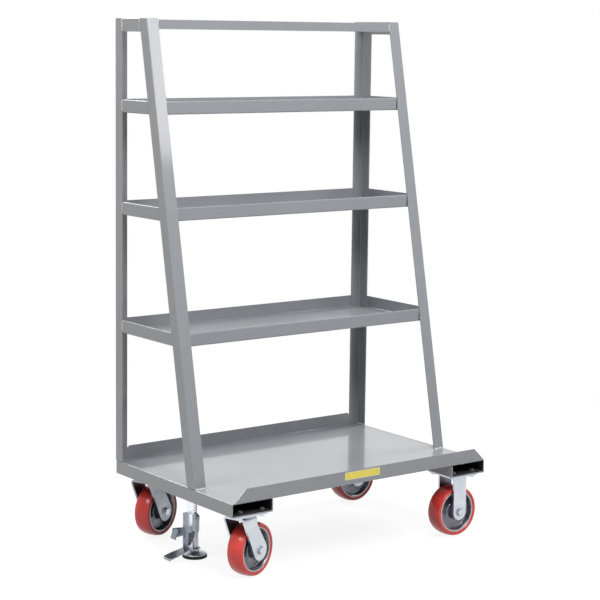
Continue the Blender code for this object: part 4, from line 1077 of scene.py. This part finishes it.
def shelf_welds(node):
    """Upright seams at a shelf's corners. The right front one has no bead; a near-black strip there is
    painted shade in the gap.
    """
    low, high = corners(node)
    span = (low[2] + SHELF_SEAM_FOOT, high[2] - SHELF_SEAM_HEAD)
    rear, front = high[1] - SHELF_REAR_SINK, low[1] + SHELF_FRONT_SINK
    joint = high[1] - SHELF_LIP_START
    for side, outer, inward in (("left", low[0], 1), ("right", high[0], -1)):
        x = outer + inward * SHELF_LIP_START
        upright_bead(f"weld_{node}_rear_{side}", x, rear, *span, SEAM_BEAD, (0, 1, 0))
        upright_bead(f"weld_{node}_end_{side}", outer, joint, *span, SHELF_END_BEAD, (-inward, 0, 0))
        if side == "left":
            upright_bead(f"weld_{node}_front_{side}", x, front, *span, SEAM_BEAD, (0, -1, 0))
        else:
            painted_gap_shade(node, x, low, high)


def painted_gap_shade(node, x, low, high):
    """Near-black strip on a shelf's front lip beside the right front post, wider towards the bottom: painted
    shade of the gap there.
    """
    outline = traced(high[2], SHADE_STRIP_HEAD, x) + traced(low[2], SHADE_STRIP_FOOT, x)
    front, back = [low[1] + depth for depth in SHADE_STRIP_DEPTH]
    cut_plate(f"gap_shade_{node}_right", outline, front, back, PRIMER_AND_PAINTED_SHADE, "cart")


RAIL_JOINT = 0.0340
RAIL_REAR_BEAD = 0.0021
BAR_SEAM_END = 0.0010


def bar_span(low, high):
    """Heights between which the seams of a rail or bar run."""
    return low[2] + BAR_SEAM_END, high[2] - BAR_SEAM_END


def welds():
    """All welds: the posts' feet, the shelves' corners, and both ends of the rails and the front bar."""
    sides = (("left", DECK_LOW[0], 1), ("right", DECK_HIGH[0], -1))
    for side, outer, inward in sides:
        foot_welds(side, outer, inward)
    for node in SHELVES:
        shelf_welds(node)
    for side, outer, inward in sides:
        low, high = corners(f"top_rail_{side}")
        span, lean = bar_span(low, high), (-inward, 0, 0)
        upright_bead(f"weld_rail_rear_{side}", outer, high[1] - RAIL_JOINT, *span, RAIL_REAR_BEAD, lean)
        upright_bead(f"weld_rail_front_{side}", outer, low[1] + RAIL_JOINT, *span, SEAM_BEAD, lean)
    low, high = corners("top_bar_front")
    for side, x in (("left", low[0]), ("right", high[0])):
        upright_bead(f"weld_bar_{side}", x, low[1], *bar_span(low, high), SEAM_BEAD, (0, -1, 0))


# Label on the front lip. Its centre is measured from the deck's left end and top

LABEL_CENTRE = (0.4446, 0.0229)
LABEL_CORNER = 0.0018
LABEL_LIFT = 0.00005
# Signs of x and z at each corner, and the angle at which its arc starts
LABEL_CORNERS = ((1, 1, 0), (-1, 1, 90), (-1, -1, 180), (1, -1, 270))


def label(name, material, width, height, thick):
    """Thin plain card with rounded corners, printed with nothing."""
    x, z = width / 2 - LABEL_CORNER, height / 2 - LABEL_CORNER
    steps = [(sx * x, sz * z, LABEL_CORNER, turn, turn + 90, 5) for sx, sz, turn in LABEL_CORNERS]
    outline = traced(DECK_TOP + LABEL_CENTRE[1], steps, DECK_LOW[0] + LABEL_CENTRE[0])
    face_y = DECK_LOW[1] - LABEL_LIFT
    cut_plate(name, outline, face_y - thick, face_y, material, "cart")


# Camera, light and floor

CART_MIDDLE = (0.0, 0.0, 0.7)
WORLD_TINT = (0.93, 0.96, 1.0)
WORLD_LEVEL = 0.06
FLOOR_REACH = 9.0
FLOOR_BOUNCE = (0.45, 0.45, 0.45)
SHADOW_TONE = (0.18, 0.18, 0.18)
SHADOW_GLOW = 0.89
FADE_START = 0.7
FADE_END = 2.6


def camera():
    """The photograph's camera, from the fit of the deck, posts and shelves to the picture."""
    level_part = cos(CAMERA_PITCH)
    fwd = Vector((sin(CAMERA_AZIMUTH) * level_part, cos(CAMERA_AZIMUTH) * level_part, -sin(CAMERA_PITCH)))
    right = Vector((cos(CAMERA_AZIMUTH), -sin(CAMERA_AZIMUTH), 0.0))
    up = right.cross(fwd)
    level = cos(CAMERA_ROLL) * right + sin(CAMERA_ROLL) * up
    upright = cos(CAMERA_ROLL) * up - sin(CAMERA_ROLL) * right
    turn = Matrix((level, upright, -fwd)).transposed().to_4x4()
    place = Vector((DECK_LOW[0], DECK_LOW[1], 0.0)) + INCH * Vector(CAMERA_PLACE)
    data = bpy.data.cameras.new("photo_camera")
    data.sensor_width = SENSOR_MM
    data.lens = FOCAL_PIXELS / PICTURE * SENSOR_MM
    data.shift_x = (PICTURE / 2 - CENTRE_PIXEL[0]) / PICTURE
    data.shift_y = (CENTRE_PIXEL[1] - PICTURE / 2) / PICTURE
    data.clip_end = SIGHT
    seen = in_scene("photo_camera", data)
    seen.matrix_world = Matrix.Translation(place) @ turn
    bpy.context.scene.camera = seen


def lamp(name, place, size, power, target=CART_MIDDLE, tall=None, tint=(1.0, 1.0, 1.0)):
    """Soft area lamp that faces a point."""
    data = bpy.data.lights.new(name, "AREA")
    data.energy = power
    data.color = tint
    data.shape = "RECTANGLE"
    data.size = size
    data.size_y = tall or size
    holder = in_scene(name, data)
    holder.location = place
    holder.rotation_euler = (Vector(target) - Vector(place)).to_track_quat("-Z", "Y").to_euler()


def background_rays(tree):
    """One for rays from the camera, from a reflection or through glass, and zero for light."""
    path = add(tree, "ShaderNodeLightPath")
    seen = calc(tree, "MAXIMUM", path.outputs["Is Camera Ray"], path.outputs["Is Transmission Ray"])
    return calc(tree, "MAXIMUM", seen, path.outputs["Is Glossy Ray"])


def shown_or_lit(tree, lit, shown, out_kind):
    """Output of one shader for light, and of another for the camera and for reflections."""
    mix = add(tree, "ShaderNodeMixShader")
    feed(mix.inputs[0], background_rays(tree))
    feed(mix.inputs[1], lit.outputs[0])
    feed(mix.inputs[2], shown.outputs[0])
    out = add(tree, out_kind)
    feed(out.inputs["Surface"], mix.outputs[0])


def white_room():
    """White world for the camera and for reflections, and a softer level for light on the cart."""
    world = bpy.data.worlds.new("white_room")
    bpy.context.scene.world = world
    world.use_nodes = True
    tree = world.node_tree
    tree.nodes.clear()
    white = add(tree, "ShaderNodeBackground")
    white.inputs["Color"].default_value = (1.0, 1.0, 1.0, 1.0)
    soft = add(tree, "ShaderNodeBackground")
    soft.inputs["Color"].default_value = opaque(WORLD_TINT)
    soft.inputs["Strength"].default_value = WORLD_LEVEL
    shown_or_lit(tree, soft, white, "ShaderNodeOutputWorld")


def floor():
    """Plain pale floor with the cart's soft shadow. It fades to the white of the world far out."""
    r = FLOOR_REACH
    mesh = bpy.data.meshes.new("studio_floor")
    mesh.from_pydata([(-r, -r, 0.0), (r, -r, 0.0), (r, r, 0.0), (-r, r, 0.0)], [], [(0, 1, 2, 3)])
    ground = in_scene("studio_floor", mesh)
    material = bpy.data.materials.new("studio_floor")
    material.use_nodes = True
    tree = material.node_tree
    tree.nodes.clear()
    pale = add(tree, "ShaderNodeBsdfDiffuse")
    pale.inputs["Color"].default_value = opaque(FLOOR_BOUNCE)
    reach = add(tree, "ShaderNodeVectorMath", operation="LENGTH")
    feed(reach.inputs[0], add(tree, "ShaderNodeTexCoord").outputs["Object"])
    share = ramp(tree, reach.outputs["Value"], FADE_START, FADE_END)
    shade = add(tree, "ShaderNodeBsdfDiffuse")
    feed(shade.inputs["Color"], blend(tree, share, opaque(SHADOW_TONE), (0.0, 0.0, 0.0, 1.0)))
    glow = add(tree, "ShaderNodeEmission")
    feed(glow.inputs["Strength"], ramp(tree, share, 0.0, 1.0, out_low=SHADOW_GLOW))
    both = add(tree, "ShaderNodeAddShader")
    feed(both.inputs[0], shade.outputs[0])
    feed(both.inputs[1], glow.outputs[0])
    shown_or_lit(tree, pale, both, "ShaderNodeOutputMaterial")
    mesh.materials.append(material)


def studio():
    """Room, floor, soft lamps all round, and a strip that the left front post mirrors."""
    white_room()
    floor()
    lamp("front_soft", place=(-0.4, -2.6, 3.5), size=2.0, power=125.0)
    strip_target = (-0.43, 0.12, 1.30)
    lamp("post_strip", place=(1.30, -2.45, 2.30), size=0.35, power=6.8, target=strip_target, tall=0.7)
    lamp("left_soft", place=(-3.0, 0.0, 3.2), size=1.6, power=58.0, tint=(1.0, 0.97, 0.93))
    lamp("back_soft", place=(-0.6, 3.3, 3.3), size=1.8, power=105.0)
    lamp("right_soft", place=(3.2, 0.2, 3.2), size=1.6, power=78.0)
    bpy.context.scene.view_settings.view_transform = "Standard"


camera()
studio()
sheet_metal()
casters()
floor_lock()
welds()
label("label_border", LABEL_EDGE, width=0.1268, height=0.0220, thick=0.00025)
label("plain_label", LABEL, width=0.1236, height=0.0186, thick=0.00035)
